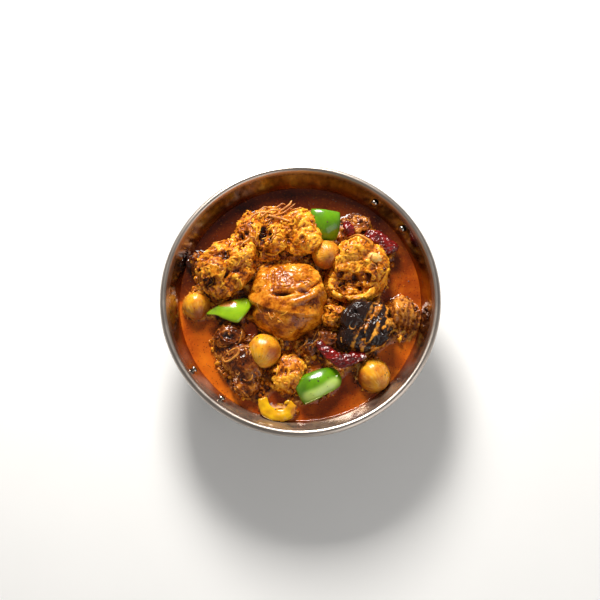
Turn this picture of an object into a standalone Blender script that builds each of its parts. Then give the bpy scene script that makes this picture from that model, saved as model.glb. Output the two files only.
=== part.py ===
"""Chicken curry served in a shallow polished steel bowl.

Frame: origin at the centre of the bowl's flat foot, +Z up, -Y towards the person eating. Metres.
The bowl is turned from one profile and carries four rivets. Chicken pieces, pearl onions, pepper
petals and dried chillies stand in a sauce that is solid up to its level and cut round each of them.
"""

import math

import bmesh
import bpy
from mathutils import Euler, Matrix, Vector, noise

MM = 0.001

# Bowl: driving dimensions
RIM_RADIUS = 110 * MM
BOWL_HEIGHT = 66 * MM
WALL = 1.4 * MM
BEAD_RADIUS = 2.8 * MM
CORNER_RADIUS = 44 * MM
WALL_SLOPE = math.radians(62.5)
BOWL_SEGMENTS = 44
CORNER_STEPS = 3
BEAD_STEPS = 6

# Sauce
SAUCE_LEVEL = 48 * MM
GAP = 0.3 * MM

# Rivets: two for each of the two grips the bowl was made for
GRIP_AZIMUTHS = (44, 224)
RIVET_SPREAD = 9
RIVET_HEIGHT = 57 * MM
RIVET_HEAD_RADIUS = 2.6 * MM
RIVET_HEAD_HEIGHT = 1.3 * MM
RIVET_SHANK_RADIUS = 1.5 * MM
RIVET_SIDES = 8

# Faces that meet at less than this angle are one face
FLAT_ANGLE = math.radians(2.5)

# A piece of chicken lies flat this share of its half height below its middle
FLAT_SHARE = 0.4

# A pleat round a piece and the groove beside it, on the unit ball the piece is stretched from
PLEAT_WIDTH = 0.16
GROOVE_OFFSET = 0.3
GROOVE_WIDTH = 0.12

# How far the root and the tip of a pearl onion are drawn out, as a share of its radius
ONION_TIP = 0.12


def clear_scene():
    for obj in list(bpy.data.objects):
        bpy.data.objects.remove(obj)


def material(name, colour, roughness, metallic=0.0):
    made = bpy.data.materials.new(name)
    made.use_nodes = True
    shader = made.node_tree.nodes["Principled BSDF"]
    shader.inputs["Base Color"].default_value = (*colour, 1.0)
    shader.inputs["Roughness"].default_value = roughness
    shader.inputs["Metallic"].default_value = metallic
    return made


def object_from(name, bm, look=None):
    """Links a bmesh to the scene as a named object and frees it."""
    mesh = bpy.data.meshes.new(name)
    bmesh.ops.recalc_face_normals(bm, faces=bm.faces)
    bm.to_mesh(mesh)
    bm.free()
    if look:
        mesh.materials.append(look)
    obj = bpy.data.objects.new(name, mesh)
    bpy.context.scene.collection.objects.link(obj)
    return obj


def helper(obj):
    """Marks an object as a cutter, so that it is no part of the food."""
    obj.hide_render = True
    obj.display_type = "WIRE"
    return obj


# ---------------------------------------------------------------- bowl


def arc(centre, radius, start, end, steps):
    """Points of an arc in the profile plane, both ends included."""
    turn = (end - start) / steps
    return [
        (
            centre[0] + radius * math.cos(start + i * turn),
            centre[1] + radius * math.sin(start + i * turn),
        )
        for i in range(steps + 1)
    ]


def wall_radius(height, offset=0.0):
    """Radius of the straight wall at a height, moved outwards from the inner face by offset.

    The inner face runs tangent into the rolled bead, so the bead's centre fixes where it lies.
    """
    bead_face = offset - BEAD_RADIUS
    at_bead = RIM_RADIUS - BEAD_RADIUS + bead_face * math.sin(WALL_SLOPE)
    bead_height = BOWL_HEIGHT - BEAD_RADIUS - bead_face * math.cos(WALL_SLOPE)
    return at_bead + (height - bead_height) / math.tan(WALL_SLOPE)


def corner_arc(offset):
    """The round corner between foot and wall, moved outwards from the inner face by offset."""
    height = WALL + CORNER_RADIUS
    centre = (wall_radius(height) - CORNER_RADIUS / math.sin(WALL_SLOPE), height)
    return arc(centre, CORNER_RADIUS + offset, -math.pi / 2, WALL_SLOPE - math.pi / 2, CORNER_STEPS)


def bowl_profile():
    """Closed outline of the turned wall: inner face upwards, over the rolled bead, outer face down."""
    bead = (RIM_RADIUS - BEAD_RADIUS, BOWL_HEIGHT - BEAD_RADIUS)
    tangent = WALL_SLOPE + math.pi / 2
    rolled = 2 * math.pi - math.acos(1 - WALL / BEAD_RADIUS)
    over_bead = arc(bead, BEAD_RADIUS, tangent, tangent - rolled, BEAD_STEPS)
    return [(0.0, WALL), *corner_arc(0.0), *over_bead, *reversed(corner_arc(WALL)), (0.0, 0.0)]


def turned(name, outline, look=None):
    """A closed solid of revolution; the outline's first and last points lie on the axis."""
    bm = bmesh.new()
    rings = []
    for radius, height in outline:
        if radius == 0.0:
            rings.append([bm.verts.new((0, 0, height))])
            continue
        ring = []
        for i in range(BOWL_SEGMENTS):
            angle = 2 * math.pi * i / BOWL_SEGMENTS
            ring.append(bm.verts.new((radius * math.cos(angle), radius * math.sin(angle), height)))
        rings.append(ring)
    for low, high in zip(rings, rings[1:]):
        for i in range(BOWL_SEGMENTS):
            j = (i + 1) % BOWL_SEGMENTS
            if len(low) == 1:
                bm.faces.new((low[0], high[i], high[j]))
            elif len(high) == 1:
                bm.faces.new((low[j], low[i], high[0]))
            else:
                bm.faces.new((low[i], high[i], high[j], low[j]))
    return object_from(name, bm, look)


def sauce_outline(top, clearance):
    """Outline of what fills the bowl to a height, kept clear of the inner face."""
    floor = (0.0, WALL + clearance)
    corner = corner_arc(-clearance)
    return [floor, *corner, (wall_radius(top, -clearance / math.sin(WALL_SLOPE)), top), (0.0, top)]


def rivet_frames():
    """Axis and seat of each rivet on the inner face of the wall."""
    for azimuth in GRIP_AZIMUTHS:
        for side in (-1, 1):
            angle = math.radians(azimuth + side * RIVET_SPREAD)
            outward = Vector((math.cos(angle), math.sin(angle), 0))
            normal = outward * math.sin(WALL_SLOPE) - Vector((0, 0, math.cos(WALL_SLOPE)))
            radius = wall_radius(RIVET_HEIGHT) * math.cos(math.pi / BOWL_SEGMENTS)
            yield outward * radius + Vector((0, 0, RIVET_HEIGHT)), normal


def rivet_outline():
    """Half outline of a rivet along its axis: domed head inside, shank, flatter tail outside."""
    head = [
        (RIVET_HEAD_RADIUS * math.sin(a), -GAP - RIVET_HEAD_HEIGHT * math.cos(a))
        for a in (0, math.pi / 4, math.pi / 2)
    ]
    tail_seat = WALL + 2 * GAP
    return head + [
        (RIVET_SHANK_RADIUS, -GAP),
        (RIVET_SHANK_RADIUS, tail_seat),
        (RIVET_HEAD_RADIUS, tail_seat),
        (RIVET_HEAD_RADIUS * 0.7, tail_seat + RIVET_HEAD_HEIGHT * 0.7),
        (0.0, tail_seat + RIVET_HEAD_HEIGHT * 0.8),
    ]


def spun(name, outline, sides, place, look=None):
    """Spins a small half outline round its own axis, then moves it to its place."""
    bm = bmesh.new()
    verts = [bm.verts.new((x, 0, z)) for x, z in outline]
    edges = [bm.edges.new(pair) for pair in zip(verts, verts[1:])]
    bmesh.ops.spin(
        bm, geom=verts + edges, cent=(0, 0, 0), axis=(0, 0, 1), angle=2 * math.pi, steps=sides
    )
    bmesh.ops.remove_doubles(bm, verts=bm.verts, dist=0.001 * MM)
    bmesh.ops.transform(bm, matrix=place, verts=bm.verts)
    return object_from(name, bm, look)


def build_bowl(steel):
    bowl = turned("bowl", bowl_profile(), steel)
    hole = [(0.0, -4 * WALL), (RIVET_SHANK_RADIUS + GAP, -4 * WALL)]
    hole += [(RIVET_SHANK_RADIUS + GAP, 6 * WALL), (0.0, 6 * WALL)]
    for i, (seat, normal) in enumerate(rivet_frames(), 1):
        place = Matrix.Translation(seat) @ normal.to_track_quat("Z", "Y").to_matrix().to_4x4()
        spun(f"rivet_{i}", rivet_outline(), RIVET_SIDES, place, steel)
        drill = helper(spun(f"rivet_hole_{i}", hole, RIVET_SIDES, place))
        carve(bowl, [drill])
    return bowl


# ---------------------------------------------------------------- cutting


def drop_islands(obj):
    """Keeps only the largest connected body of a mesh, and merges points that a cut left together."""
    bm = bmesh.new()
    bm.from_mesh(obj.data)
    bmesh.ops.remove_doubles(bm, verts=bm.verts, dist=0.004 * MM)
    bmesh.ops.dissolve_degenerate(bm, edges=bm.edges, dist=0.001 * MM)
    unseen = set(bm.verts)
    bodies = []
    while unseen:
        body, edge_of = set(), [unseen.pop()]
        while edge_of:
            vert = edge_of.pop()
            body.add(vert)
            for edge in vert.link_edges:
                other = edge.other_vert(vert)
                if other in unseen:
                    unseen.discard(other)
                    edge_of.append(other)
        bodies.append(body)
    largest = max(bodies, key=len)
    bmesh.ops.delete(bm, geom=[v for v in bm.verts if v not in largest], context="VERTS")
    bmesh.ops.dissolve_limit(bm, angle_limit=FLAT_ANGLE, verts=bm.verts, edges=bm.edges)
    bmesh.ops.triangulate(bm, faces=bm.faces)
    bm.to_mesh(obj.data)
    bm.free()


def carve(obj, cutters, operation="DIFFERENCE"):
    """Cuts obj with each cutter in turn and keeps the result as its mesh."""
    for cutter in cutters:
        cut = obj.modifiers.new("cut", "BOOLEAN")
        cut.operation = operation
        cut.object = cutter
    bpy.context.view_layer.update()
    graph = bpy.context.evaluated_depsgraph_get()
    cut_mesh = bpy.data.meshes.new_from_object(obj.evaluated_get(graph))
    obj.modifiers.clear()
    obj.data = cut_mesh
    drop_islands(obj)


def swollen_copy(obj):
    """A cutter: the object with every face moved out by the gap that neighbours keep."""
    bm = bmesh.new()
    bm.from_mesh(obj.data)
    bm.normal_update()
    moves = [v.normal * GAP * min(v.calc_shell_factor(), 2.0) for v in bm.verts]
    for vert, move in zip(bm.verts, moves):
        vert.co += move
    return helper(object_from(f"{obj.name}_cutter", bm))


def touching(first, second):
    """True where the boxes of two objects meet."""
    boxes = []
    for obj in (first, second):
        corners = [v.co for v in obj.data.vertices]
        boxes.append([(min(c[k] for c in corners), max(c[k] for c in corners)) for k in range(3)])
    return all(a[0] < b[1] and b[0] < a[1] for a, b in zip(*boxes))


# ---------------------------------------------------------------- food shapes


def lump(name, centre, half, turn, seed, look, rough=0.16, folds=(), dents=(), detail=3):
    """A torn piece of chicken: an ellipsoid pulled in and out by smooth noise, flat underneath.

    centre and half are in millimetres; turn is degrees about Z. A fold is (normal, offset, depth):
    a pleat that runs round the piece where the plane of that normal meets it. A dent is
    (direction, width, depth): a hollow round the point that lies in that direction. Both are
    measured on the unit ball that the piece is stretched from.
    """
    bm = bmesh.new()
    bmesh.ops.create_icosphere(bm, subdivisions=detail, radius=1.0)
    shift = Vector((seed * 3.7, seed * 1.3, seed * 2.1))
    for vert in bm.verts:
        out = vert.co.normalized()
        reach = 1 + rough * noise.noise(out * 1.1 + shift) + 0.6 * rough * noise.noise(out * 2.6 + shift)
        for normal, offset, depth in folds:
            side = out.dot(Vector(normal).normalized()) - offset
            pleat = math.exp(-((side / PLEAT_WIDTH) ** 2))
            groove = math.exp(-(((side - GROOVE_OFFSET) / GROOVE_WIDTH) ** 2))
            reach += depth * (pleat - groove)
        for direction, width, depth in dents:
            away = (out - Vector(direction).normalized()).length
            reach -= depth * math.exp(-((away / width) ** 2))
        vert.co = out * reach * MM
        vert.co *= Vector(half)
    place = Matrix.Translation(Vector(centre) * MM) @ Matrix.Rotation(math.radians(turn), 4, "Z")
    bmesh.ops.transform(bm, matrix=place, verts=bm.verts)
    flatten_below(bm, (centre[2] - FLAT_SHARE * half[2]) * MM)
    return object_from(name, bm, look)


def leaning(centre, lean):
    """Places a shape at a centre in millimetres, leaned by degrees about X, Y and Z."""
    turn = Euler([math.radians(angle) for angle in lean])
    return Matrix.Translation(Vector(centre) * MM) @ turn.to_matrix().to_4x4()


def flatten_below(bm, height):
    """Slices the piece at a height and caps it, as a piece lies on what is under it."""
    geometry = bm.verts[:] + bm.edges[:] + bm.faces[:]
    cut = bmesh.ops.bisect_plane(
        bm, geom=geometry, plane_co=(0, 0, height), plane_no=(0, 0, -1), clear_outer=True
    )
    rim = [e for e in cut["geom_cut"] if isinstance(e, bmesh.types.BMEdge)]
    if rim:
        bmesh.ops.edgeloop_fill(bm, edges=rim)


def pearl_onion(name, centre, radius, lean, look, sides=12, rings=7):
    """A small peeled onion: a ball drawn out a little towards its root and its tip."""
    bm = bmesh.new()
    bmesh.ops.create_uvsphere(bm, u_segments=sides, v_segments=rings, radius=radius * MM)
    for vert in bm.verts:
        polar = abs(vert.co.z) / (radius * MM)
        vert.co.z *= 1 + ONION_TIP * polar**4
    bmesh.ops.transform(bm, matrix=leaning(centre, lean), verts=bm.verts)
    return object_from(name, bm, look)


def petal(name, centre, half, bend, lean, thickness, look, taper=0.0, corner=0.16, cells=5):
    """A cut petal of pepper: a rounded sheet bent about both of its axes, with real thickness.

    bend holds the radii of curvature along the sheet's length and width, in millimetres.
    """
    bm = bmesh.new()
    layers = []
    for drop in (0.0, thickness):
        grid = []
        for i in range(cells + 1):
            row = []
            for j in range(cells + 1):
                s, t = 2 * i / cells - 1, 2 * j / cells - 1
                along = s * half[0] * (1 - corner * t * t)
                across = t * half[1] * (1 - corner * s * s) * (1 - taper * (s + 1) / 2)
                row.append(bm.verts.new(bent_point(along, across, bend, drop)))
            grid.append(row)
        layers.append(grid)
    top, under = layers
    for i in range(cells):
        for j in range(cells):
            bm.faces.new((top[i][j], top[i + 1][j], top[i + 1][j + 1], top[i][j + 1]))
            bm.faces.new((under[i][j], under[i][j + 1], under[i + 1][j + 1], under[i + 1][j]))
    for upper, lower in zip(border(top), border(under)):
        bm.faces.new((upper[0], lower[0], lower[1], upper[1]))
    bmesh.ops.transform(bm, matrix=leaning(centre, lean), verts=bm.verts)
    return object_from(name, bm, look)


def bent_point(along, across, bend, drop):
    """A point of a sheet rolled round one radius along its length and another across it, in metres."""
    roll_a, roll_b = along / bend[0], across / bend[1]
    x = (bend[0] - drop) * math.sin(roll_a)
    y = (bend[1] - drop) * math.sin(roll_b)
    z = (bend[0] - drop) * (math.cos(roll_a) - 1) + (bend[1] - drop) * (math.cos(roll_b) - 1) - drop
    return Vector((x, y, z)) * MM


def border(grid):
    """Pairs of neighbouring points round the edge of a square grid, in order."""
    last = len(grid) - 1
    loop = [grid[i][0] for i in range(last)]
    loop += [grid[last][j] for j in range(last)]
    loop += [grid[i][last] for i in range(last, 0, -1)]
    loop += [grid[0][j] for j in range(last, 0, -1)]
    return list(zip(loop, loop[1:] + loop[:1]))


def swept(name, route, radii, look, sides=8, flatness=0.5, crumple=0.0, seed=0):
    """A strip or pod along a smooth route: one flattened ring of points at each step, ends closed.

    route holds points in millimetres and radii the half width at each of them.
    """
    steps = 3 * (len(route) - 1)
    bm = bmesh.new()
    rings = []
    for k in range(steps + 1):
        here, ahead = along_route(route, k / steps), along_route(route, k / steps, derivative=True)
        side = ahead.cross(Vector((0, 0, 1))).normalized()
        rise = side.cross(ahead).normalized()
        width = radius_at(radii, k / steps)
        ring = []
        for i in range(sides):
            angle = 2 * math.pi * i / sides
            wave = 1 + crumple * noise.noise(Vector((k * 0.9, i * 1.7, seed * 5.1)))
            offset = side * math.cos(angle) * width * wave + rise * math.sin(angle) * width * flatness * wave
            ring.append(bm.verts.new((here + offset) * MM))
        rings.append(ring)
    for low, high in zip(rings, rings[1:]):
        for i in range(sides):
            j = (i + 1) % sides
            bm.faces.new((low[i], low[j], high[j], high[i]))
    for ring, end in ((rings[0], 0.0), (rings[-1], 1.0)):
        tip = bm.verts.new(along_route(route, end) * MM)
        for i in range(sides):
            bm.faces.new((ring[i], ring[(i + 1) % sides], tip))
    return object_from(name, bm, look)


def along_route(route, share, derivative=False):
    """Point, or direction, at a share of a route through the given points (Catmull-Rom)."""
    points = [Vector(p) for p in route]
    points = [2 * points[0] - points[1], *points, 2 * points[-1] - points[-2]]
    spot = share * (len(route) - 1)
    i = min(int(spot), len(route) - 2)
    t = spot - i
    a, b, c, d = points[i : i + 4]
    if derivative:
        return 0.5 * ((c - a) + 2 * t * (2 * a - 5 * b + 4 * c - d) + 3 * t * t * (3 * b - a - 3 * c + d))
    return 0.5 * (2 * b + (c - a) * t + (2 * a - 5 * b + 4 * c - d) * t * t + (3 * b - a - 3 * c + d) * t**3)


def radius_at(radii, share):
    """Half width at a share of the length, between the given ones."""
    spot = share * (len(radii) - 1)
    i = min(int(spot), len(radii) - 2)
    return radii[i] + (radii[i + 1] - radii[i]) * (spot - i)


# ---------------------------------------------------------------- the curry


def small_vegetables():
    """Onions, pepper petals, chillies and garlic, which press into the chicken beside them."""
    return onions() + peppers() + chillies()


def onions():
    yellowish = material("onion", (0.80, 0.52, 0.16), 0.3)
    slice_route = [(42.5, -50.5, 49.5), (46.5, -54.5, 52), (46, -60, 52), (42.5, -63.5, 49.5)]
    return [
        pearl_onion("pearl_onion_1", (-82.5, -4.5, 51), 10.8, (70, 20, 0), yellowish),
        pearl_onion("pearl_onion_2", (-28.0, -42.5, 57), 12.6, (60, -30, 0), yellowish),
        pearl_onion("pearl_onion_3", (57.0, -61.0, 51), 12.8, (50, 40, 0), yellowish),
        pearl_onion("pearl_onion_4", (20.5, 34.5, 60), 11.6, (20, 10, 0), yellowish),
        pearl_onion("garlic_clove", (57.5, 26.5, 69.5), 5.6, (80, 0, 60), yellowish, 10, 6),
        swept("onion_slice", slice_route, (1.8, 2.6, 2.6, 1.8), yellowish, 6, 0.8),
    ]


def peppers():
    green = material("green_pepper", (0.22, 0.50, 0.05), 0.25)
    yellow = material("yellow_pepper", (0.85, 0.62, 0.04), 0.25)
    strip = [(-29, -79, 54), (-26.5, -88, 53), (-18, -92.5, 52.5), (-9, -90.5, 53), (-5.5, -83.5, 54.5)]
    return [
        petal("green_pepper_1", (19, 56, 70), (14.5, 15), (22, 18), (24, 4, -6), 3.6, green),
        petal("green_pepper_2", (-56.5, -13.5, 65), (18.5, 13), (24, 18), (4, 3, 198), 3.6, green, 0.6),
        petal("green_pepper_3", (14.5, -69, 63.5), (20.5, 15), (26, 13), (4, 2, 24), 3.8, green, 0.25),
        swept("yellow_pepper", strip, (3.8, 5.2, 5.4, 5.2, 3.6), yellow, flatness=0.42),
    ]


def chillies():
    red = material("red_chili", (0.22, 0.01, 0.01), 0.25)
    by_the_wall = [(52, 51.5, 56), (60, 48.5, 59), (69, 43.5, 57.5), (78, 42, 54)]
    fragment = [(36, 62, 59), (38.5, 57, 60), (41, 51.5, 58)]
    long_pod = [(14, -37, 59.5), (22, -45, 61.5), (31, -50.5, 60.5), (41, -48.5, 60.5), (50, -47, 58)]
    left_bit = [(-88, 27, 50.5), (-86.5, 33, 52.5), (-80.5, 38.5, 51)]
    return [
        swept("red_chili_1", by_the_wall, (3.5, 6.5, 6.5, 3.0), red, 6, 0.55, 0.5, 1),
        swept("red_chili_2", fragment, (2.5, 4.2, 2.8), red, 6, 0.6, 0.5, 2),
        swept("red_chili_3", long_pod, (2.6, 4.2, 4.8, 4.6, 2.4), red, 6, 0.6, 0.5, 3),
        swept("red_chili_4", left_bit, (2.6, 4.2, 2.6), red, 6, 0.7, 0.5, 4),
    ]


def chicken_pieces():
    """The chicken, from the piece that lies uppermost to those it presses on."""
    glazed = material("chicken_glazed", (0.62, 0.27, 0.05), 0.45)
    torn = material("chicken_torn", (0.55, 0.24, 0.05), 0.6)
    dark = material("chicken_dark", (0.12, 0.05, 0.02), 0.4)
    skin_fold = ((-0.3, -0.75, -0.25), 0.12, 0.09)
    marrow_hole = ((-0.35, -0.35, 0.85), 0.3, 0.3)
    tear = ((-0.1, -0.8, 0.6), 0.4, 0.22)
    grooves = [((1, 0.1, 0), offset, 0.1) for offset in (-0.55, 0.05)]
    return [
        lump("chicken_thigh", (-10, -2, 53), (29, 31, 24), 8, 1, glazed, 0.10, [skin_fold]),
        lump("chicken_left", (-58.5, 23, 52), (29, 21, 22), 50, 2, torn, 0.26, dents=[tear]),
        lump("chicken_back_left", (-28, 52, 52), (23.5, 22.5, 20), 50, 3, torn, 0.30),
        lump("chicken_back", (-3, 50, 53), (20, 18, 18), -10, 4, torn, 0.30),
        lump("chicken_right", (48, 23, 52), (26, 24, 20), 20, 5, torn, 0.30, dents=[marrow_hole]),
        lump("chicken_charred", (50, -23, 51), (26, 20, 18), 48, 6, dark, 0.22),
        lump("chicken_ridged", (82, -15, 46), (12.5, 17, 14), 4, 7, torn, 0.10, grooves),
        lump("chicken_dark", (-47, -52, 46), (16, 31, 15), 34, 8, dark, 0.22, [((1, 0, 0.3), 0.3, 0.12)]),
        lump("chicken_small_centre", (26, -14, 52), (10, 9.5, 11), 0, 9, torn, 0.24, detail=2),
        lump("chicken_small_front", (-9, -60, 50), (13.5, 15.5, 13), -12, 10, torn, 0.24, detail=2),
        lump("chicken_middle", (14, -35, 47), (18, 11, 12), 20, 11, dark, 0.28, detail=2),
        lump("chicken_back_right", (46, 61, 47), (14, 10, 10), -22, 12, torn, 0.26, detail=2),
    ]


def fit_together(pieces):
    """Each piece gives way to those before it in the list, and all of them to the bowl."""
    room = helper(turned("room_in_bowl", sauce_outline(BOWL_HEIGHT + 40 * MM, GAP)))
    cutters = []
    for piece in pieces:
        near = [cutter for cutter in cutters if touching(piece, cutter)]
        if near:
            carve(piece, near)
        carve(piece, [room], "INTERSECT")
        cutters.append(swollen_copy(piece))
    return cutters


def build_sauce(cutters):
    sauce_look = material("sauce", (0.50, 0.12, 0.01), 0.12)
    sauce = turned("sauce", sauce_outline(SAUCE_LEVEL, GAP), sauce_look)
    carve(sauce, [cutter for cutter in cutters if touching(sauce, cutter)])


def shade_smooth():
    for obj in bpy.context.scene.objects:
        if obj.type == "MESH" and not obj.hide_render:
            obj.data.shade_smooth()
            obj.data.set_sharp_from_angle(angle=math.radians(50))


clear_scene()
build_bowl(material("steel", (0.62, 0.60, 0.57), 0.12, 1.0))
build_sauce(fit_together(small_vegetables() + chicken_pieces()))
shade_smooth()
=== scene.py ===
"""Looks for a bowl of chicken curry: every CAD solid gets a detailed piece in its own place.

Lengths are metres; `mm` turns hand-sized numbers into metres. Pieces are made in three steps: closed
shapes are joined by a voxel remesh, `Skin` moves the points of the result, and attributes painted on
those points steer the node materials.
"""

import math

import bpy
import numpy as np
from mathutils import Euler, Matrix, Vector
from mathutils.bvhtree import BVHTree


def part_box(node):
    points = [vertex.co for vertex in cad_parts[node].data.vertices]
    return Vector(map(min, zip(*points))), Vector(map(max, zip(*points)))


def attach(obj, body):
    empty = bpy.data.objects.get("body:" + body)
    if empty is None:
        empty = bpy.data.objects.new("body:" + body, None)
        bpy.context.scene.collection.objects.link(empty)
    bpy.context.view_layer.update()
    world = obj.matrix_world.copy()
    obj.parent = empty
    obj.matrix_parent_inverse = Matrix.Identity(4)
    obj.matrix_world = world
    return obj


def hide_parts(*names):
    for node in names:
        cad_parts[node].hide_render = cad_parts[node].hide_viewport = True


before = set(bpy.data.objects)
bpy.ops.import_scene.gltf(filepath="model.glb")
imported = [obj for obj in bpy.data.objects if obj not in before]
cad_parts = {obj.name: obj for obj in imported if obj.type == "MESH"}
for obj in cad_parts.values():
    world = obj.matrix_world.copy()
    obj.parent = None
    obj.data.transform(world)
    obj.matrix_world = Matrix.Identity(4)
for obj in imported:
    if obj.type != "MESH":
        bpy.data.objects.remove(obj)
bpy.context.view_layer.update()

MM = 0.001
RIM_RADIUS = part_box("bowl")[1].x
BOWL_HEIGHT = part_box("bowl")[1].z
SAUCE_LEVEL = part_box("sauce")[1].z
WALL = 1.4 * MM
WALL_START = 28 * MM  # just above the end of the round corner
BEAD_RADIUS = 2.8 * MM
CORNER_RADIUS = 44 * MM
WALL_SLOPE = math.radians(62.5)
# Black for char, also used for the shade painted into pits and creases.
CHAR_AND_SHADE = (0.020, 0.009, 0.007)
THREAD = np.array((0.4, 1, 0.9, 0.4))  # how the width of a thread runs from end to end

# A rivet from its domed head to its flat tail, as (radius, distance along) in millimetres.
RIVET_OUTLINE = (
    (0, -3.5), (0.6, -3.45), (1.4, -3.3), (2.2, -2.9), (2.6, -2.3), (2.6, -1.9),
    (1.4, -1.9), (1.4, 1.9), (2.4, 1.9), (2.2, 2.5), (1.2, 2.8), (0, 2.85),
)
RIVET_SPAN = 4.6  # half the diagonal of its box

RANDOM = np.random.default_rng(11)
GRADIENTS = RANDOM.normal(size=(256, 3))
GRADIENTS /= np.linalg.norm(GRADIENTS, axis=1)[:, None]
SHUFFLE = np.tile(RANDOM.permutation(256), 2)

SOLID_PIECES = []


def mm(*lengths):
    """Millimetres as a vector in metres."""
    return np.array(lengths, float) * MM


# ---- noise


def noise(points):
    """Smooth gradient noise from about -1 to 1; its features are about one unit across."""
    cell = np.floor(points).astype(int)
    part = points - cell
    fade = part**3 * (part * (part * 6 - 15) + 10)
    total = np.zeros(len(points))
    for corner in np.ndindex(2, 2, 2):
        x, y, z = ((cell + corner) & 255).T
        slope = GRADIENTS[SHUFFLE[SHUFFLE[SHUFFLE[x] + y] + z]]
        weight = np.where(corner, fade, 1 - fade).prod(axis=1)
        total += weight * (slope * (part - corner)).sum(axis=1)
    return 1.6 * total


def fractal(points, octaves):
    """Noise with finer noise added, each octave half as strong as the one before."""
    return sum(0.5**k * noise(points * 2**k + 17.3 * k) for k in range(octaves))


def ridged(points, octaves):
    """Noise with sharp crests, from about -1 in the hollows to 1 on the crests."""
    return sum(0.5**k * (1 - 2 * np.abs(noise(points * 2**k + 9.1 * k))) for k in range(octaves)) / 1.5


def smoothstep(low, high, value):
    """0 at low, 1 at high, with a smooth rise between them."""
    share = np.clip((value - low) / (high - low), 0, 1)
    return share * share * (3 - 2 * share)


def near(points, centre, radius):
    """1 at the centre, falling off to 0 about two radii away; radius may differ by axis."""
    return np.exp(-(((points - centre) / radius) ** 2).sum(axis=1))


# ---- shapes as (points, faces)


def middle(node):
    """Centre of a CAD node's box."""
    low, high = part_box(node)
    return np.array((low + high) / 2)


def reach(node):
    """Half the sides of a CAD node's box."""
    low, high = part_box(node)
    return np.array((high - low) / 2)


def within(node, *spots):
    """Points given as shares of the way from the middle of a node's box to its sides."""
    return [middle(node) + reach(node) * spot for spot in spots]


def cad_shape(node):
    """A CAD node's shape, with the points that its faces repeat made one."""
    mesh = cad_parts[node].data
    points = np.array([v.co for v in mesh.vertices])
    spots, merged = np.unique(np.round(points / (0.01 * MM)), axis=0, return_inverse=True)
    merged = merged.ravel()
    corners = np.zeros((len(spots), 3))
    corners[merged] = points
    return corners, [[int(merged[i]) for i in face.vertices] for face in mesh.polygons]


def turning(lean):
    """Rotation matrix for degrees about X, Y and Z."""
    return np.array(Euler([math.radians(a) for a in lean]).to_matrix())


def closed_rings(rings, sides):
    """Faces over rings of points and over the two end points, which come after the rings."""
    first, last = rings * sides, rings * sides + 1
    faces = []
    for i in range(sides):
        j = (i + 1) % sides
        faces.append((first, i, j))
        for r in range(rings - 1):
            faces.append((r * sides + i, (r + 1) * sides + i, (r + 1) * sides + j, r * sides + j))
        faces.append((last, (rings - 1) * sides + j, (rings - 1) * sides + i))
    return faces


def ball(centre, half, lean=(0, 0, 0), sides=28, rings=16):
    """An ellipsoid with its half axes, leaned by degrees about X, Y and Z."""
    polar = np.linspace(0, math.pi, rings + 1)[1:-1]
    around = np.linspace(0, 2 * math.pi, sides, endpoint=False)
    grid = [
        (math.sin(p) * math.cos(a), math.sin(p) * math.sin(a), math.cos(p)) for p in polar for a in around
    ]
    points = np.array([*grid, (0, 0, 1), (0, 0, -1)]) * half @ turning(lean).T + centre
    return points, closed_rings(rings - 1, sides)


def along(route, shares):
    """Points at shares of the way along a smooth route (Catmull-Rom)."""
    route = np.asarray(route, float)
    ends = np.vstack((2 * route[0] - route[1], route, 2 * route[-1] - route[-2]))
    spot = np.asarray(shares) * (len(route) - 1)
    i = np.minimum(spot.astype(int), len(route) - 2)
    t = (spot - i)[:, None]
    a, b, c, d = (ends[i + k] for k in range(4))
    return 0.5 * (
        2 * b + (c - a) * t + (2 * a - 5 * b + 4 * c - d) * t**2 + (3 * b - a - 3 * c + d) * t**3
    )


def strip(route, widths, flatness, sides=12, steps=40):
    """A closed strip or pod with round ends along a route; widths are half widths at even distances."""
    shares = np.linspace(0, 1, steps)
    centres = along(route, shares)
    ahead = np.gradient(centres, axis=0)
    ahead /= np.linalg.norm(ahead, axis=1)[:, None]
    side = np.cross(ahead, (0, 0, 1))
    side /= np.linalg.norm(side, axis=1)[:, None]
    rise = np.cross(side, ahead)
    width = np.interp(shares, np.linspace(0, 1, len(widths)), widths)
    width = width * np.sqrt(np.clip(1 - (2 * shares - 1) ** 12, 0.02, 1))
    turn = np.linspace(0, 2 * math.pi, sides, endpoint=False)
    points = (
        centres[:, None]
        + side[:, None] * (np.cos(turn)[:, None] * width[:, None, None])
        + rise[:, None] * (np.sin(turn)[:, None] * width[:, None, None] * flatness)
    ).reshape(-1, 3)
    faces = [
        (r * sides + i, r * sides + (i + 1) % sides, (r + 1) * sides + (i + 1) % sides, (r + 1) * sides + i)
        for r in range(steps - 1)
        for i in range(sides)
    ]
    faces.append(tuple(reversed(range(sides))))
    faces.append(tuple(range((steps - 1) * sides, steps * sides)))
    return points, faces


def joined(shapes):
    """Several shapes as one list of points and faces, each still its own body."""
    points, faces, start = [], [], 0
    for some_points, some_faces in shapes:
        points.append(some_points)
        faces += [tuple(start + i for i in face) for face in some_faces]
        start += len(some_points)
    return np.vstack(points), faces


def to_object(name, shape):
    """A new smooth-shaded object in the scene."""
    points, faces = shape
    mesh = bpy.data.meshes.new(name)
    mesh.from_pydata(points.tolist(), [], faces)
    mesh.validate()
    mesh.shade_smooth()
    obj = bpy.data.objects.new(name, mesh)
    bpy.context.scene.collection.objects.link(obj)
    return obj


def shape_of(obj):
    """An object's points and faces."""
    return np.array([v.co for v in obj.data.vertices]), [tuple(f.vertices) for f in obj.data.polygons]


def tree_of(pieces):
    """The surface of some pieces, for finding spots on it."""
    return BVHTree.FromPolygons(*joined([shape_of(o) for o in pieces]))


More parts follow.
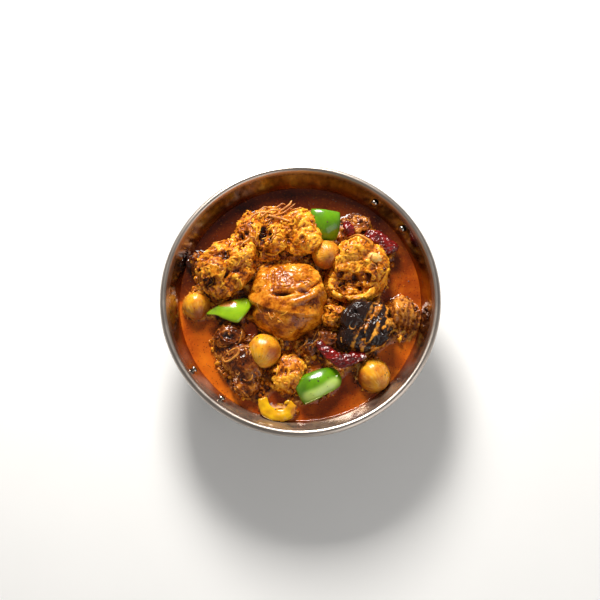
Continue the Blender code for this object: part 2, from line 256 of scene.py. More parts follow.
def applied(obj):
    """Replaces an object's mesh with what its modifiers make of it."""
    bpy.context.view_layer.update()
    shaped = bpy.data.meshes.new_from_object(obj.evaluated_get(bpy.context.evaluated_depsgraph_get()))
    obj.modifiers.clear()
    obj.data = shaped
    shaped.shade_smooth()
    return obj


def paint(obj, name, values):
    """Gives every point of an object a value that its material reads."""
    layer = obj.data.attributes.new(name, "FLOAT", "POINT")
    layer.data.foreach_set("value", np.asarray(values, np.float32))


class Skin:
    """The points of a mesh, moved in steps and written back by `done`."""

    def __init__(self, obj):
        self.obj = obj
        self.points = np.zeros((len(obj.data.vertices), 3))
        obj.data.vertices.foreach_get("co", self.points.ravel())
        self.edges = np.zeros((len(obj.data.edges), 2), int)
        obj.data.edges.foreach_get("vertices", self.edges.ravel())
        self.paint = {}

    def write(self):
        """Puts the moved points back into the mesh."""
        self.obj.data.vertices.foreach_set("co", self.points.ravel())
        self.obj.data.update()

    def normals(self):
        """The normal of every point as it stands now."""
        self.write()
        normals = np.zeros((len(self.points), 3))
        self.obj.data.vertex_normals.foreach_get("vector", normals.ravel())
        return normals

    def spread(self, values):
        """Each point's values averaged over its neighbours."""
        a, b = self.edges.T
        count = len(self.points)
        shares = np.bincount(a, minlength=count) + np.bincount(b, minlength=count)
        columns = values.reshape(count, -1).T
        sums = [np.bincount(a, c[b], count) + np.bincount(b, c[a], count) for c in columns]
        return (np.array(sums).T / np.maximum(shares, 1)[:, None]).reshape(values.shape)

    def relax(self, times):
        """Evens out the points, a little more each time."""
        for _ in range(times):
            self.points = 0.5 * self.points + 0.5 * self.spread(self.points)
        return self

    def push(self, amount):
        """Moves each point along its normal by an amount in metres."""
        self.points = self.points + self.normals() * np.asarray(amount)[:, None]
        return self

    def hollow(self, centre, radius, depth, lip=0.0):
        """Presses a hollow in, with a raised lip round it; all but the centre in millimetres."""
        away = np.linalg.norm((self.points - centre) / mm(*radius), axis=1)
        raised = lip * MM * np.exp(-(((away - 1.25) / 0.3) ** 2))
        return self.push(raised - depth * MM * np.exp(-(away**2) * 1.6))

    def relief(self, steps=10, scale=0.6 * MM):
        """How far each point stands above (1) or below (-1) the skin around it."""
        even = self.points
        for _ in range(steps):
            even = self.spread(even)
        return np.clip(((self.points - even) * self.normals()).sum(axis=1) / scale, -1, 1)

    def done(self):
        """Writes the points and the paint, and gives the object."""
        self.write()
        for name, values in self.paint.items():
            paint(self.obj, name, values)
        return self.obj


def fused(name, shapes, voxel):
    """The skin of closed shapes joined into one mesh of even squares, voxel millimetres wide."""
    obj = to_object(name, joined(shapes))
    remesh = obj.modifiers.new("fuse", "REMESH")
    remesh.mode = "VOXEL"
    remesh.voxel_size = voxel * MM
    return Skin(applied(obj))


# ---- node materials


class Value:
    """An output of a shader node; adding and multiplying values makes nodes."""

    def __init__(self, socket):
        self.socket = socket

    def maths(self, operation, other):
        """The value joined with another one, or with a number."""
        return Graph(self.socket.id_data).add("Math", {0: self, 1: other}, operation=operation)

    def __add__(self, other):
        return self.maths("ADD", other)

    def __mul__(self, other):
        return self.maths("MULTIPLY", other)

    __rmul__ = __mul__


class Graph:
    """A node tree; the inputs of its nodes are numbers, colours or values."""

    def __init__(self, tree):
        self.tree = tree

    def feed(self, node, inputs):
        """Sets a node's inputs by socket name or number."""
        for key, value in inputs.items():
            if isinstance(value, Value):
                self.tree.links.new(value.socket, node.inputs[key])
            else:
                node.inputs[key].default_value = value

    def add(self, kind, inputs, output=0, **settings):
        """Adds a shader node and gives one of its outputs."""
        made = self.tree.nodes.new("ShaderNode" + kind)
        for key, value in settings.items():
            setattr(made, key, value)
        self.feed(made, inputs)
        return Value(made.outputs[output])

    def mix(self, factor, first, second):
        """The first colour, turning into the second as the factor grows."""
        first, second = (c if isinstance(c, Value) else (*c, 1) for c in (first, second))
        return self.add("Mix", {0: factor, 6: first, 7: second}, 2, data_type="RGBA")

    def ramp(self, value, stops):
        """Colours at places from 0 to 1 along a value."""
        made = self.add("ValToRGB", {0: value})
        elements = made.socket.node.color_ramp.elements
        while len(elements) < len(stops):
            elements.new(0.5)
        for element, (place, colour) in zip(elements, stops):
            element.position = place
            element.color = (*colour, 1)
        return made

    def between(self, value, low, high, to_low=0.0, to_high=1.0):
        """Maps a value from one range to another, smoothly and clamped."""
        inputs = {0: value, 1: low, 2: high, 3: to_low, 4: to_high}
        return self.add("MapRange", inputs, interpolation_type="SMOOTHSTEP")

    def painted(self, name):
        """A value painted on the points, or 0 where there is none."""
        return self.add("Attribute", {}, "Fac", attribute_name=name)

    def texture(self, kind, size, stretch=(1, 1, 1), **inputs):
        """A texture whose features are about size metres across, in the object's own space."""
        spot = self.add("Mapping", {0: self.add("TexCoord", {}, "Object"), 3: stretch})
        return self.add("Tex" + kind, {"Vector": spot, "Scale": 0.6 / size} | inputs)

    def grain(self, size, detail, roughness=0.55, stretch=(1, 1, 1)):
        """Cloudy noise, finer with more detail."""
        return self.texture("Noise", size, stretch, Detail=detail, Roughness=roughness)

    def bump(self, height, distance, strength=1.0):
        """A normal that makes the height stand out by a distance in metres."""
        return self.add("Bump", {"Height": height, "Distance": distance, "Strength": strength})


class Material(Graph):
    """A material, finished by `surface`."""

    def __init__(self, name):
        self.made = bpy.data.materials.new(name)
        self.made.use_nodes = True
        super().__init__(self.made.node_tree)

    def surface(self, colour, roughness, others):
        """Feeds the shader and gives the finished material."""
        shader = self.tree.nodes["Principled BSDF"]
        self.feed(shader, {"Base Color": colour, "Roughness": roughness} | others)
        return self.made


def meat_material(name, colours, wet, grit, places=(0.02, 0.30, 0.60, 0.95)):
    """Braised meat under masala: colours run from deep hollows over the body to bright crests, painted shade
    in the hollows and painted light on the crests.
    """
    m = Material(name)
    patches = m.between(m.grain(6 * MM, 4, 0.6), 0.36, 0.64)
    fine = m.grain(1.3 * MM, 4, 0.65)
    gritty = m.between(fine, 0.38, 0.62, 0.18 - 0.18 * grit, 0.18 + 0.18 * grit)
    # Painted shade and light: the painted relief darkens hollows and lightens crests; patches and tone vary
    # it further.
    height = 0.42 * m.painted("relief") + 0.40 * patches + gritty + 0.5 * m.painted("tone")
    # Char marks, and the shade painted into pits and creases, both turn the colour black.
    burnt_and_shaded = m.painted("char") + 0.25 * patches
    colour = m.ramp(height, list(zip(places, colours)))
    colour = m.mix(m.between(burnt_and_shaded, 0.35, 0.8), colour, CHAR_AND_SHADE)
    rough = m.between(m.grain(2.6 * MM, 3), 0.35, 0.65, 0.38 - 0.24 * wet, 0.5 - 0.2 * wet)
    return m.surface(colour, rough, {
        "Normal": m.bump(fine, 0.35 * MM * grit), "IOR": 1.4, "Specular IOR Level": 0.28,
        "Subsurface Weight": 0.04, "Subsurface Scale": 1.0 * MM,
        "Coat Weight": 0.3 * wet, "Coat Roughness": 0.1,
    })


def steel_material():
    """Polished steel: a brushed rim, upright polishing lines, stains, an oil film above the sauce, and
    painted shade streaked over the back of the inside.
    """
    m = Material("polished_steel")
    stain = m.grain(9 * MM, 5)
    lines = m.grain(1.6 * MM, 3, 0.6, (1, 1, 0.05))
    height = m.add("SeparateXYZ", {0: m.add("TexCoord", {}, "Object")}, 2)
    above = m.between(height + 8 * MM * stain, SAUCE_LEVEL + 10 * MM, SAUCE_LEVEL + 4 * MM)
    film = m.painted("inside") * above
    # Painted shade: the back of the inside wall is darkened in upright streaks, for the shade and dark
    # reflections there.
    painted_back_shade = m.painted("painted_back_shade") * m.between(lines, 0.25, 0.7, 1, 0.72)
    haze = m.painted("haze") * m.between(stain, 0.2, 0.8)
    metal = m.mix(m.between(stain, 0.4, 0.7), (0.40, 0.36, 0.32), (0.52, 0.48, 0.44))
    for share, colour in (
        (m.painted("outside"), (0.20, 0.18, 0.165)),
        (m.painted("rim"), (0.47, 0.41, 0.36)),
        (painted_back_shade, (0.035, 0.018, 0.007)),
        (haze, (0.42, 0.28, 0.15)),
        (0.6 * film, (0.34, 0.10, 0.010)),
    ):
        metal = m.mix(share, metal, colour)
    brushed = m.painted("rim").maths("MAXIMUM", 0.5 * painted_back_shade)
    rough = m.between(stain, 0.3, 0.7, 0.06, 0.14) + 0.06 * film + 0.24 * brushed
    return m.surface(metal, rough, {"Metallic": -0.45 * haze + 1.0, "Normal": m.bump(lines, 0.04 * MM, 0.6)})


def sauce_material():
    """Red oil over brown gravy, with ground spice in it; the paste between pieces is rougher and darker,
    partly painted shade. Painted shade also darkens the oil by the far wall; painted light brightens it in
    front.
    """
    m = Material("oily_gravy")
    cloud = m.grain(14 * MM, 5)
    fine = m.grain(1.2 * MM, 5, 0.7)
    specks = m.texture("Voronoi", 1.3 * MM)
    bright = m.ramp(cloud, [
        (0.3, (0.22, 0.026, 0.001)), (0.5, (0.40, 0.064, 0.002)), (0.68, (0.62, 0.15, 0.005)),
    ])
    # Painted shade: the darker oil used near the far wall and on the right.
    dark = m.ramp(cloud, [(0.35, (0.045, 0.005, 0.001)), (0.65, (0.13, 0.020, 0.001))])
    # Painted shade and light: the clot colour runs dark in the clots' hollows and bright on their lumps.
    clots = m.ramp(0.45 * m.painted("relief") + fine, [
        (0.2, (0.030, 0.005, 0.001)), (0.42, (0.22, 0.052, 0.003)),
        (0.64, (0.52, 0.17, 0.010)), (0.9, (0.80, 0.40, 0.04)),
    ])
    oil = m.mix(m.painted("deep"), bright, dark)
    # Painted light: brighter oil in two pools at the front.
    oil = m.mix(0.6 * m.painted("sunny"), oil, (0.74, 0.17, 0.006))
    paste = m.painted("paste") + 0.3 * fine
    colour = m.mix(m.between(paste, 0.35, 0.8), oil, clots)
    colour = m.mix(m.between(specks, 0.28, 0.12, 0, 0.7), colour, (0.06, 0.006, 0.001))
    colour = m.mix(m.between(fine, 0.56, 0.74, 0, 0.6), colour, (0.66, 0.19, 0.012))
    return m.surface(colour, m.between(paste, 0.3, 0.8, 0.07, 0.42), {
        "Normal": m.bump(fine, 0.16 * MM, 0.7), "IOR": 1.42,
        "Subsurface Weight": 0.08, "Subsurface Scale": 2 * MM,
    })


def onion_material(name, fresh, cooked):
    """Cooked onion: translucent, with faint lines from root to tip and stuck-on masala."""
    m = Material(name)
    lines = m.painted("lines")
    stain = m.grain(6 * MM, 4, 0.6)
    specks = m.texture("Voronoi", 2.2 * MM)
    stained = m.painted("stain") + 0.4 * stain
    colour = m.mix(m.between(stain, 0.36, 0.64), fresh, cooked)
    colour = m.mix(0.5 * lines, colour, (0.90, 0.58, 0.14))
    colour = m.mix(m.between(stained, 0.3, 1.2, 0, 0.85), colour, (0.30, 0.045, 0.008))
    colour = m.mix(m.between(specks, 0.16, 0.08, 0, 0.7), colour, (0.20, 0.03, 0.004))
    return m.surface(colour, m.between(stain, 0.3, 0.7, 0.24, 0.4), {
        "Normal": m.bump(lines, 0.15 * MM, 0.5), "IOR": 1.42,
        "Subsurface Weight": 0.3, "Subsurface Scale": 3 * MM, "Subsurface Radius": (1.0, 0.45, 0.1),
    })


def pepper_material(name, skin, deep, flesh):
    """Waxy pepper skin outside; pale flesh on the cut edges and inside; and a painted highlight band in a
    pale green.
    """
    m = Material(name)
    cloud = m.grain(8 * MM, 3)
    smear = m.painted("smear") + 0.5 * m.grain(1.2 * MM, 3)
    colour = m.mix(m.between(cloud, 0.35, 0.65), skin, deep)
    colour = m.mix(m.painted("flesh"), colour, flesh)
    # Painted highlight: a pale green band painted where the pale value is set.
    colour = m.mix(m.between(m.painted("pale"), 0.15, 1.3), colour, (0.60, 0.80, 0.17))
    colour = m.mix(m.between(smear, 0.65, 0.95), colour, (0.55, 0.20, 0.02))
    return m.surface(colour, m.between(cloud, 0.3, 0.7, 0.14, 0.26), {
        "Normal": m.bump(cloud, 0.5 * MM, 0.35), "IOR": 1.45,
        "Subsurface Weight": 0.1, "Subsurface Scale": 1.5 * MM,
        "Coat Weight": 0.3, "Coat Roughness": 0.08,
    })


def chilli_material(name, bright, deep):
    """Wet, dark red skin."""
    m = Material(name)
    cloud = m.grain(4 * MM, 4)
    colour = m.mix(m.between(cloud, 0.35, 0.65), bright, deep)
    return m.surface(colour, m.between(cloud, 0.3, 0.7, 0.14, 0.3), {
        "Normal": m.bump(m.grain(1.4 * MM, 4), 0.3 * MM, 0.5), "IOR": 1.5,
        "Coat Weight": 0.2, "Coat Roughness": 0.08,
    })


def strand_material():
    """Browned onion shreds."""
    m = Material("fried_onion_strand")
    cloud = m.grain(5 * MM, 4)
    colour = m.mix(m.between(cloud, 0.35, 0.65), (0.70, 0.30, 0.05), (0.40, 0.12, 0.012))
    return m.surface(colour, m.between(cloud, 0.3, 0.7, 0.3, 0.5), {
        "Normal": m.bump(m.grain(1.2 * MM, 3), 0.2 * MM, 0.6), "IOR": 1.4,
        "Subsurface Weight": 0.15, "Subsurface Scale": 1.5 * MM,
    })


def fleck_material():
    """Bits of chilli and dark spice."""
    m = Material("chilli_fleck")
    colour = m.mix(m.between(m.grain(12 * MM, 3), 0.4, 0.6), (0.16, 0.012, 0.003), (0.03, 0.006, 0.002))
    return m.surface(colour, 0.35, {"Normal": m.bump(m.grain(0.8 * MM, 2), 0.1 * MM)})


def floor_material():
    """Pale grey, almost even."""
    m = Material("pale_floor")
    colour = m.mix(m.grain(40 * MM, 3), (0.90, 0.90, 0.89), (0.93, 0.93, 0.92))
    return m.surface(colour, 0.7, {})


# ---- bowl


def wall_radius(height, offset=0.0):
    """Radius of the straight wall at a height, moved outwards from the inner face by offset."""
    bead_face = offset - BEAD_RADIUS
    at_bead = RIM_RADIUS - BEAD_RADIUS + bead_face * math.sin(WALL_SLOPE)
    bead_height = BOWL_HEIGHT - BEAD_RADIUS - bead_face * math.cos(WALL_SLOPE)
    return at_bead + (height - bead_height) / math.tan(WALL_SLOPE)


def arc(centre, radius, start, end, steps):
    """Points on an arc, as (radius, height) pairs of the bowl's section."""
    angles = np.linspace(start, end, steps + 1)
    return [(centre[0] + radius * math.cos(a), centre[1] + radius * math.sin(a)) for a in angles]


def corner_arc(offset, steps=14):
    """The round corner between the floor and the wall, moved outwards from the inner face by offset."""
    height = WALL + CORNER_RADIUS
    centre = (wall_radius(height) - CORNER_RADIUS / math.sin(WALL_SLOPE), height)
    return arc(centre, CORNER_RADIUS + offset, -math.pi / 2, WALL_SLOPE - math.pi / 2, steps)


def turned(outline, segments):
    """Solid of revolution of an outline whose first and last points lie on the axis."""
    turn = np.linspace(0, 2 * math.pi, segments, endpoint=False)
    ring = np.stack((np.cos(turn), np.sin(turn), np.ones(segments)), 1)
    rings = [ring * (r, r, z) for r, z in outline[1:-1]]
    points = np.vstack([*rings, [(0, 0, outline[0][1]), (0, 0, outline[-1][1])]])
    return points, closed_rings(len(rings), segments)


def finish_piece(obj, look, slot, *nodes):
    """Gives a piece its material and its body, and hides the CAD nodes that it stands for."""
    obj.data.materials.clear()
    obj.data.materials.append(look)
    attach(obj, "root")
    if nodes:
        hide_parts(*nodes)
    SOLID_PIECES.append(obj)


def make_bowl(steel):
    """The bowl, with its parts painted: shade behind (painted shade and dark reflection), haze in front, the
    bare outside and the rim.
    """
    bead = (RIM_RADIUS - BEAD_RADIUS, BOWL_HEIGHT - BEAD_RADIUS)
    tangent = WALL_SLOPE + math.pi / 2
    rolled = 2 * math.pi - math.acos(1 - WALL / BEAD_RADIUS)
    inner = [(wall_radius(z), z) for z in np.linspace(WALL_START, 62 * MM, 18)]
    outer = [(wall_radius(z, WALL), z) for z in np.linspace(58 * MM, 27 * MM, 10)]
    outline = [(0, WALL), *corner_arc(0), *inner, *arc(bead, BEAD_RADIUS, tangent, tangent - rolled, 28)]
    outline += [*outer, *reversed(corner_arc(WALL)), (0, 0)]
    segments = 256
    skin = Skin(to_object("steel_bowl", turned(outline, segments)))
    ring = np.arange(len(skin.points)) // segments
    inside = (ring < len(corner_arc(0)) + len(inner)) * 1.0
    from_back = np.abs(np.degrees(np.arctan2(skin.points[:, 0], skin.points[:, 1])))
    rim = BOWL_HEIGHT - BEAD_RADIUS * np.array((2.4, 1.2))
    skin.paint = {
        "inside": inside,
        "outside": (ring >= len(outline) - 2 - len(outer) - len(corner_arc(0))) * 1.0,
        "rim": smoothstep(*rim, skin.points[:, 2]),
        "haze": inside * smoothstep(105, 150, from_back),
        # Painted shade on the back of the inside, for the shade and dark reflection there.
        "painted_back_shade": 0.85 * inside * smoothstep(80, 40, from_back),
    }
    skin.push(0.12 * MM * noise(skin.points / (22 * MM)))
    skin.points[:, 2] = np.maximum(skin.points[:, 2], 0)
    finish_piece(skin.done(), steel, "steel", "bowl")


def make_rivets(steel):
    """Domed rivet heads on the inside of the wall, with flat tails outside."""
    for number in range(1, 5):
        node = f"rivet_{number}"
        seat = middle(node)
        outward = np.array([seat[0], seat[1], 0]) / math.hypot(seat[0], seat[1])
        normal = outward * math.sin(WALL_SLOPE) - np.array([0, 0, math.cos(WALL_SLOPE)])
        scale = np.linalg.norm(reach(node)) / RIVET_SPAN
        points, faces = turned([(r * scale, z * scale) for r, z in RIVET_OUTLINE], 24)
        axes = np.array(Vector(normal).to_track_quat("Z", "Y").to_matrix())
        obj = to_object(f"rivet_head_{number}", (points @ axes.T + seat, faces))
        obj.data.set_sharp_from_angle(angle=math.radians(50))
        finish_piece(obj, steel, "steel", node)


# ---- chicken


def warped(points, size, amount):
    """Points shifted by smooth noise, so that patterns made on them look less regular."""
    return points + amount * np.stack([noise(points / size + k) for k in (0, 31, 57)], 1)


def torn(skin, fibre, seed, lumps=1.8, fibres=0.55, flakes=0.9):
    """Rough torn meat: lumps, flakes with stepped edges, fibres that run one way, pits and grains."""
    points = warped(skin.points + 0.037 * seed, 8 * MM, 3 * MM)
    fibre = np.asarray(fibre, float) / np.linalg.norm(fibre)
    lengthwise = (points @ fibre)[:, None] * fibre
    stretched = (points - lengthwise) / (3.0 * MM) + lengthwise / (9 * MM)
    skin.push(lumps * MM * fractal(points / (9 * MM), 2))
    level = 1.8 * fractal(points / (8 * MM) + 5, 2)
    ledge = np.floor(level) + smoothstep(0.35, 0.6, level - np.floor(level)) - level
    skin.push(flakes * MM * ledge)
    skin.push(fibres * MM * ridged(stretched, 2))
    skin.push(-2.2 * MM * smoothstep(0.3, 0.7, noise(points / (7.5 * MM) + 11)))
    skin.push(0.25 * MM * fractal(points / (2.4 * MM), 2))


def draped(tree, start, heading, length, curl, lift):
    """A route over a surface from a starting point, turning a little at every step."""
    steps = 7
    route, here, ahead = [], Vector(start), Vector((math.cos(heading), math.sin(heading), 0))
    for _ in range(steps):
        spot, normal, _, _ = tree.find_nearest(here)
        route.append(spot + normal * lift)
        ahead = (ahead - ahead.dot(normal) * normal + curl * normal.cross(ahead)).normalized()
        here = spot + ahead * (length / steps)
    return np.array(route)


def add_bits(obj, shapes, looks):
    """Joins small closed shapes to an object, each with its own painted values."""
    bits = to_object("bits", joined(shapes))
    counts = [len(points) for points, _ in shapes]
    for name, values in looks.items():
        paint(bits, name, np.repeat(values, counts))
    with bpy.context.temp_override(active_object=obj, selected_editable_objects=[obj, bits]):
        bpy.ops.object.join()


def uneven_lumps():
    """Small irregular lumps about one unit in radius, as a stock to place copies from."""
    rng = np.random.default_rng(3)
    stock = []
    for k in range(40):
        points, faces = ball((0, 0, 0), rng.uniform(0.45, 1.3, 3), rng.uniform(0, 360, 3), 10, 7)
        stock.append((points * (1 + 0.45 * noise(points * 1.6 + 7.7 * k))[:, None], faces))
    return stock


LUMPS = uneven_lumps()


def crumb(rng, place, size):
    """A small irregular lump from the stock, turned about the upright axis."""
    points, faces = LUMPS[rng.integers(len(LUMPS))]
    turn = rng.uniform(0, 2 * math.pi)
    c, s = math.cos(turn), math.sin(turn)
    return points @ np.array([[c, -s, 0], [s, c, 0], [0, 0, 1]]) * size + place, faces


def studded(node, seed, count=14, size=4.6):
    """A node's shape with uneven lumps round its upper side, which roughen its outline."""
    rng = np.random.default_rng(seed)
    points, faces = cad_shape(node)
    upper = points[points[:, 2] > SAUCE_LEVEL + 1 * MM]
    lumps = [(points, faces)]
    for place in upper[rng.integers(0, len(upper), count)]:
        inwards = middle(node) - place
        half = rng.uniform(0.45, 1.15, 3) * size * MM
        lumps.append(ball(place + 0.25 * inwards, half, rng.uniform(0, 360, 3), 16, 10))
    return lumps


def dress(obj, normals, fibre, strands, crumbs, seed):
    """Loose fibres and crumbs of masala lying on a piece, joined to it."""
    rng = np.random.default_rng(seed)
    points, _ = shape_of(obj)
    tree = tree_of([obj])
    shown = (normals[:, 2] > -0.1) & (points[:, 2] > SAUCE_LEVEL - 1 * MM)
    spots = rng.choice(np.nonzero(shown)[0], strands + crumbs)
    shapes = []
    for spot in spots[:strands]:
        heading = math.atan2(fibre[1], fibre[0]) + math.radians(rng.normal(0, 40))
        length, width = rng.uniform(6, 18) * MM, rng.uniform(0.4, 1.0) * MM
        route = draped(tree, points[spot], heading, length, rng.normal(0, 0.35), 0.5 * width)
        shapes.append(strip(route, width * THREAD, 0.7, 6, 12))
    for spot in spots[strands:]:
        shapes.append(crumb(rng, points[spot], rng.uniform(0.5, 1.7) * MM))
    relief = rng.uniform(-0.4, 1.0, len(shapes))
    tone = rng.uniform(0, 0.5, len(shapes)) + 0.1
    add_bits(obj, shapes, {"relief": relief, "tone": tone, "char": np.zeros(len(shapes))})


def held_in(skin, node):
    """Keeps a piece close to the outline of its node, seen from above."""
    sectors, spare = 40, 1.2 * MM
    shape, centre = cad_shape(node)[0] - middle(node), middle(node)
    sector = (np.arctan2(shape[:, 1], shape[:, 0]) / (2 * math.pi) * sectors).astype(int) % sectors
    outline = np.zeros(sectors)
    np.maximum.at(outline, sector, np.hypot(shape[:, 0], shape[:, 1]))
    outline = np.maximum(outline, (np.roll(outline, 1) + np.roll(outline, -1)) / 2)
    away = skin.points[:, :2] - centre[:2]
    radius = np.hypot(away[:, 0], away[:, 1])
    turn = np.arctan2(away[:, 1], away[:, 0]) / (2 * math.pi) * sectors
    limit = np.interp(turn % sectors, np.arange(sectors + 1) + 0.5, np.append(outline, outline[0])) + spare
    held = np.where(radius > limit, limit + 0.25 * (radius - limit), radius)
    skin.points[:, :2] = centre[:2] + away * (held / np.maximum(radius, 0.1 * MM))[:, None]


def finish_meat(skin, node, look, slot, fibre, tone, char, strands, crumbs, pits=()):
    """Sinks pits in a piece of meat with painted shade in them, paints and dresses it, and puts it in place
    of its node.
    """
    held_in(skin, node)
    shade = np.zeros(len(skin.points))
    for spot, radius, depth in pits:
        size = mm(*radius) * (0.9, 0.9, 1.6)
        pit = near(warped(skin.points, 4 * MM, 2.2 * MM), place(node, *spot), size)
        skin.push(-depth * MM * pit)
        shade += pit
    # Painted shade and light: the relief darkens the hollows and lightens the crests in the meat colours.
    skin.paint["relief"] = np.clip(0.25 * skin.relief() + 0.8 * skin.relief(40, 2.0 * MM), -1, 1)
    # Painted shade: the pits are darkened through the tone and char values.
    skin.paint["tone"] = tone - 0.45 * shade
    skin.paint["char"] = char + 0.1 * shade
    normals = skin.normals()
    obj = skin.done()
    if strands + crumbs:
        dress(obj, normals, fibre, strands, crumbs, sum(map(ord, node)))
    finish_piece(obj, look, slot, node)


def place(node, x, y, below_top):
    """A spot at x and y in millimetres, that far below the top of a node."""
    return np.array((x * MM, y * MM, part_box(node)[1].z - below_top * MM))


def rough_piece(node, seed, bulges, relaxed=3, voxel=0.7, extra=()):
    """A node's shape with uneven lumps, and bulges given as (from the middle, half axes, turn)."""
    c = middle(node)
    balls = [ball(c + mm(*at), mm(*half), (0, 0, turn)) for at, half, turn in bulges]
    name = node.replace("chicken_", "") + "_piece"
    return fused(name, [*studded(node, seed), *balls, *extra], voxel).relax(relaxed), c


def make_thigh(look):
    """The large round piece: a smooth dome below, a rolled flap of skin above, a bulge on the left."""
    node = "chicken_thigh"
    dome = ball(place(node, -10, -13, 21), mm(28, 17.5, 18.5))
    flap = ball(place(node, -5, 13, 19), mm(24.5, 13.5, 15.5), (6, 0, 6))
    bulge = ball(place(node, -29, 9, 22), mm(9.5, 16, 15.5), (0, 0, -14))
    shoulder = ball(place(node, 10, 4, 20), mm(11, 12, 13), (0, 0, 40))
    lip_route = [(-30, 1, 12), (-21, -5.5, 6), (-11, -8.5, 3), (0, -7.5, 2), (10, -1, 3.5), (18, 8, 9)]
    lip = strip([place(node, *spot) for spot in lip_route], mm(1.6, 3.0, 3.4, 3.4, 3.6, 2.2), 0.75)
    fold_route = [(-22, 7, 7), (-13, 5, 4.5), (-3, 4, 4), (7, 8, 5), (15, 13, 10)]
    fold = strip([place(node, *spot) for spot in fold_route], mm(1.8, 3.0, 3.2, 3.2, 2.0), 0.8)
    shapes = [cad_shape(node), dome, flap, bulge, shoulder, lip, fold]
    skin = fused("thigh_piece", shapes, 0.55).relax(5)
    skin.hollow(place(node, -13, -1.5, 3), (10, 2.0, 8), 4.6, 0.3)
    skin.hollow(place(node, 1, 0.5, 3), (9, 2.2, 8), 2.4)
    skin.hollow(place(node, -21.5, 11, 6), (1.8, 10, 9), 2.6, 0.3)
    skin.push(1.2 * MM * fractal(skin.points / (16 * MM), 2))
    points = skin.points
    upper = smoothstep(-6 * MM, 4 * MM, points[:, 1])
    wrinkles = ridged(warped(points, 9 * MM, 3 * MM) * (0.6, 1.5, 1) / (4.6 * MM) + 3, 3)
    skin.push((0.35 + 0.65 * upper) * 0.6 * MM * wrinkles)
    skin.push((0.3 + 0.7 * upper) * 0.25 * MM * fractal(points / (1.9 * MM), 2))
    points = skin.points
    # Painted shade: the front of the lower dome is darker.
    tone = 0.15 - 0.16 * (1 - upper) * smoothstep(-2 * MM, -14 * MM, points[:, 1])
    # Tone spots: pale flesh on the right, painted light on the left bulge and the flap top, painted shade in
    # the slit under the flap.
    for amount, spot, radius in (
        (0.40, (9, 2, 5), (7, 5, 10)),
        (0.18, (-29, 10, 9), (7, 14, 14)),
        (0.20, (-4, 17, 6), (20, 8, 14)),
        (-0.45, (-14, 2, 5), (12, 3, 8)),
    ):
        tone += amount * near(points, place(node, *spot), mm(*radius))
    # Painted shade: the slit under the flap is blackened through the char value.
    char = 0.5 * near(points, place(node, -13, -1.5, 5), mm(9, 2.6, 6))
    finish_meat(skin, node, look, "chicken_glazed", (1, 0, 0), tone, char, 6, 12)


def make_left(look):
    """A torn piece that grows darker towards the front."""
    node, fibre = "chicken_left", (1, 0.5, 0)
    skin, c = rough_piece(node, 21, (
        ((-9, -3, 10), (13, 10, 9), 50),
        ((9, 8, 10), (15, 11, 9), 45),
        ((-6, -14, 5), (13, 9, 8), 0),
        ((9, -6, 6), (12, 10, 8), 40),
    ))
    torn(skin, fibre, 1)
    low = smoothstep(8 * MM, -6 * MM, skin.points[:, 1] - 0.25 * skin.points[:, 0] - 20 * MM)
    tone = 0.12 + 0.2 * near(skin.points, c + mm(-2, 12, 12), mm(24, 14, 14)) - 0.3 * low
    pits = (((-59, 29, 3), (5, 4, 7), 3.5), ((-70, 10, 6), (6, 5, 8), 4.5), ((-46, 36, 4), (3, 5, 6), 3.5))
    finish_meat(skin, node, look, "chicken_torn", fibre, tone, 0.3 * low, 60, 60, pits)


def make_back_left(look):
    """A torn piece under the fried onion shreds."""
    node, fibre = "chicken_back_left", (1, 1, 0)
    skin, c = rough_piece(node, 22, (
        ((-10, -2, 8), (12, 13, 9), 0),
        ((8, -7, 8), (11, 12, 9), 30),
        ((1, 10, 6), (14, 8, 8), 20),
    ))
    torn(skin, fibre, 2)
    tone = 0.15 * near(skin.points, c + mm(4, -10, 10), mm(18, 14, 14))
    pits = (((-45, 47, 3), (4, 3.5, 7), 4), ((-28, 47, 3), (4, 8, 7), 4))
    finish_meat(skin, node, look, "chicken_torn", fibre, tone, 0.0, 80, 50, pits)


def make_back(look):
    """The bright torn piece beside the green pepper at the back."""
    node, fibre = "chicken_back", (1, 0.2, 0)
    skin, c = rough_piece(node, 23, (
        ((-2, 8, 9), (13, 11, 8), 0),
        ((3, -6, 9), (14, 11, 8), -25),
        ((-11, 0, 6), (9, 14, 8), 0),
    ))
    torn(skin, fibre, 3, 1.5, 0.6)
    tone = 0.3 + 0.2 * near(skin.points, c + mm(2, 2, 14), mm(16, 14, 14))
    finish_meat(skin, node, look, "chicken_torn", fibre, tone, 0.0, 40, 40, [((-13, 43, 4), (7, 3.5, 7), 4)])


def make_right(look):
    """A bony piece with its hollows showing, and the edge of the skin curled round below them."""
    node, fibre = "chicken_right", (1, -0.6, 0)
    route = [(24, 15, 10), (24.5, 7, 8), (29, 1, 7), (39, -2.5, 7), (50, -1, 7), (57, 5, 7), (58, 12, 9)]
    curl = strip([place(node, *spot) for spot in route], mm(1.2, 2.0, 1.6, 2.1, 1.2), 0.8)
    bulges = (
        ((0, 14, 9), (15, 11, 9), 10),
        ((13, 4, 7), (12, 16, 9), 15),
        ((-10, 6, 4), (9, 10, 9), 0),
    )
    skin, _ = rough_piece(node, 24, bulges, voxel=0.6, extra=[curl])
    torn(skin, fibre, 4, 1.2, 0.6, 0.8)
    tone = 0.36 + 0.2 * near(skin.points, place(node, 40, 36, 0), mm(14, 10, 12))
    pits = (((34, 10, 7), (7.5, 5, 8), 5), ((47, 7, 7), (3.8, 2.6, 7), 5), ((58, 22, 8), (3, 9, 8), 3.5))
    finish_meat(skin, node, look, "chicken_torn", fibre, tone, 0.0, 45, 50, pits)


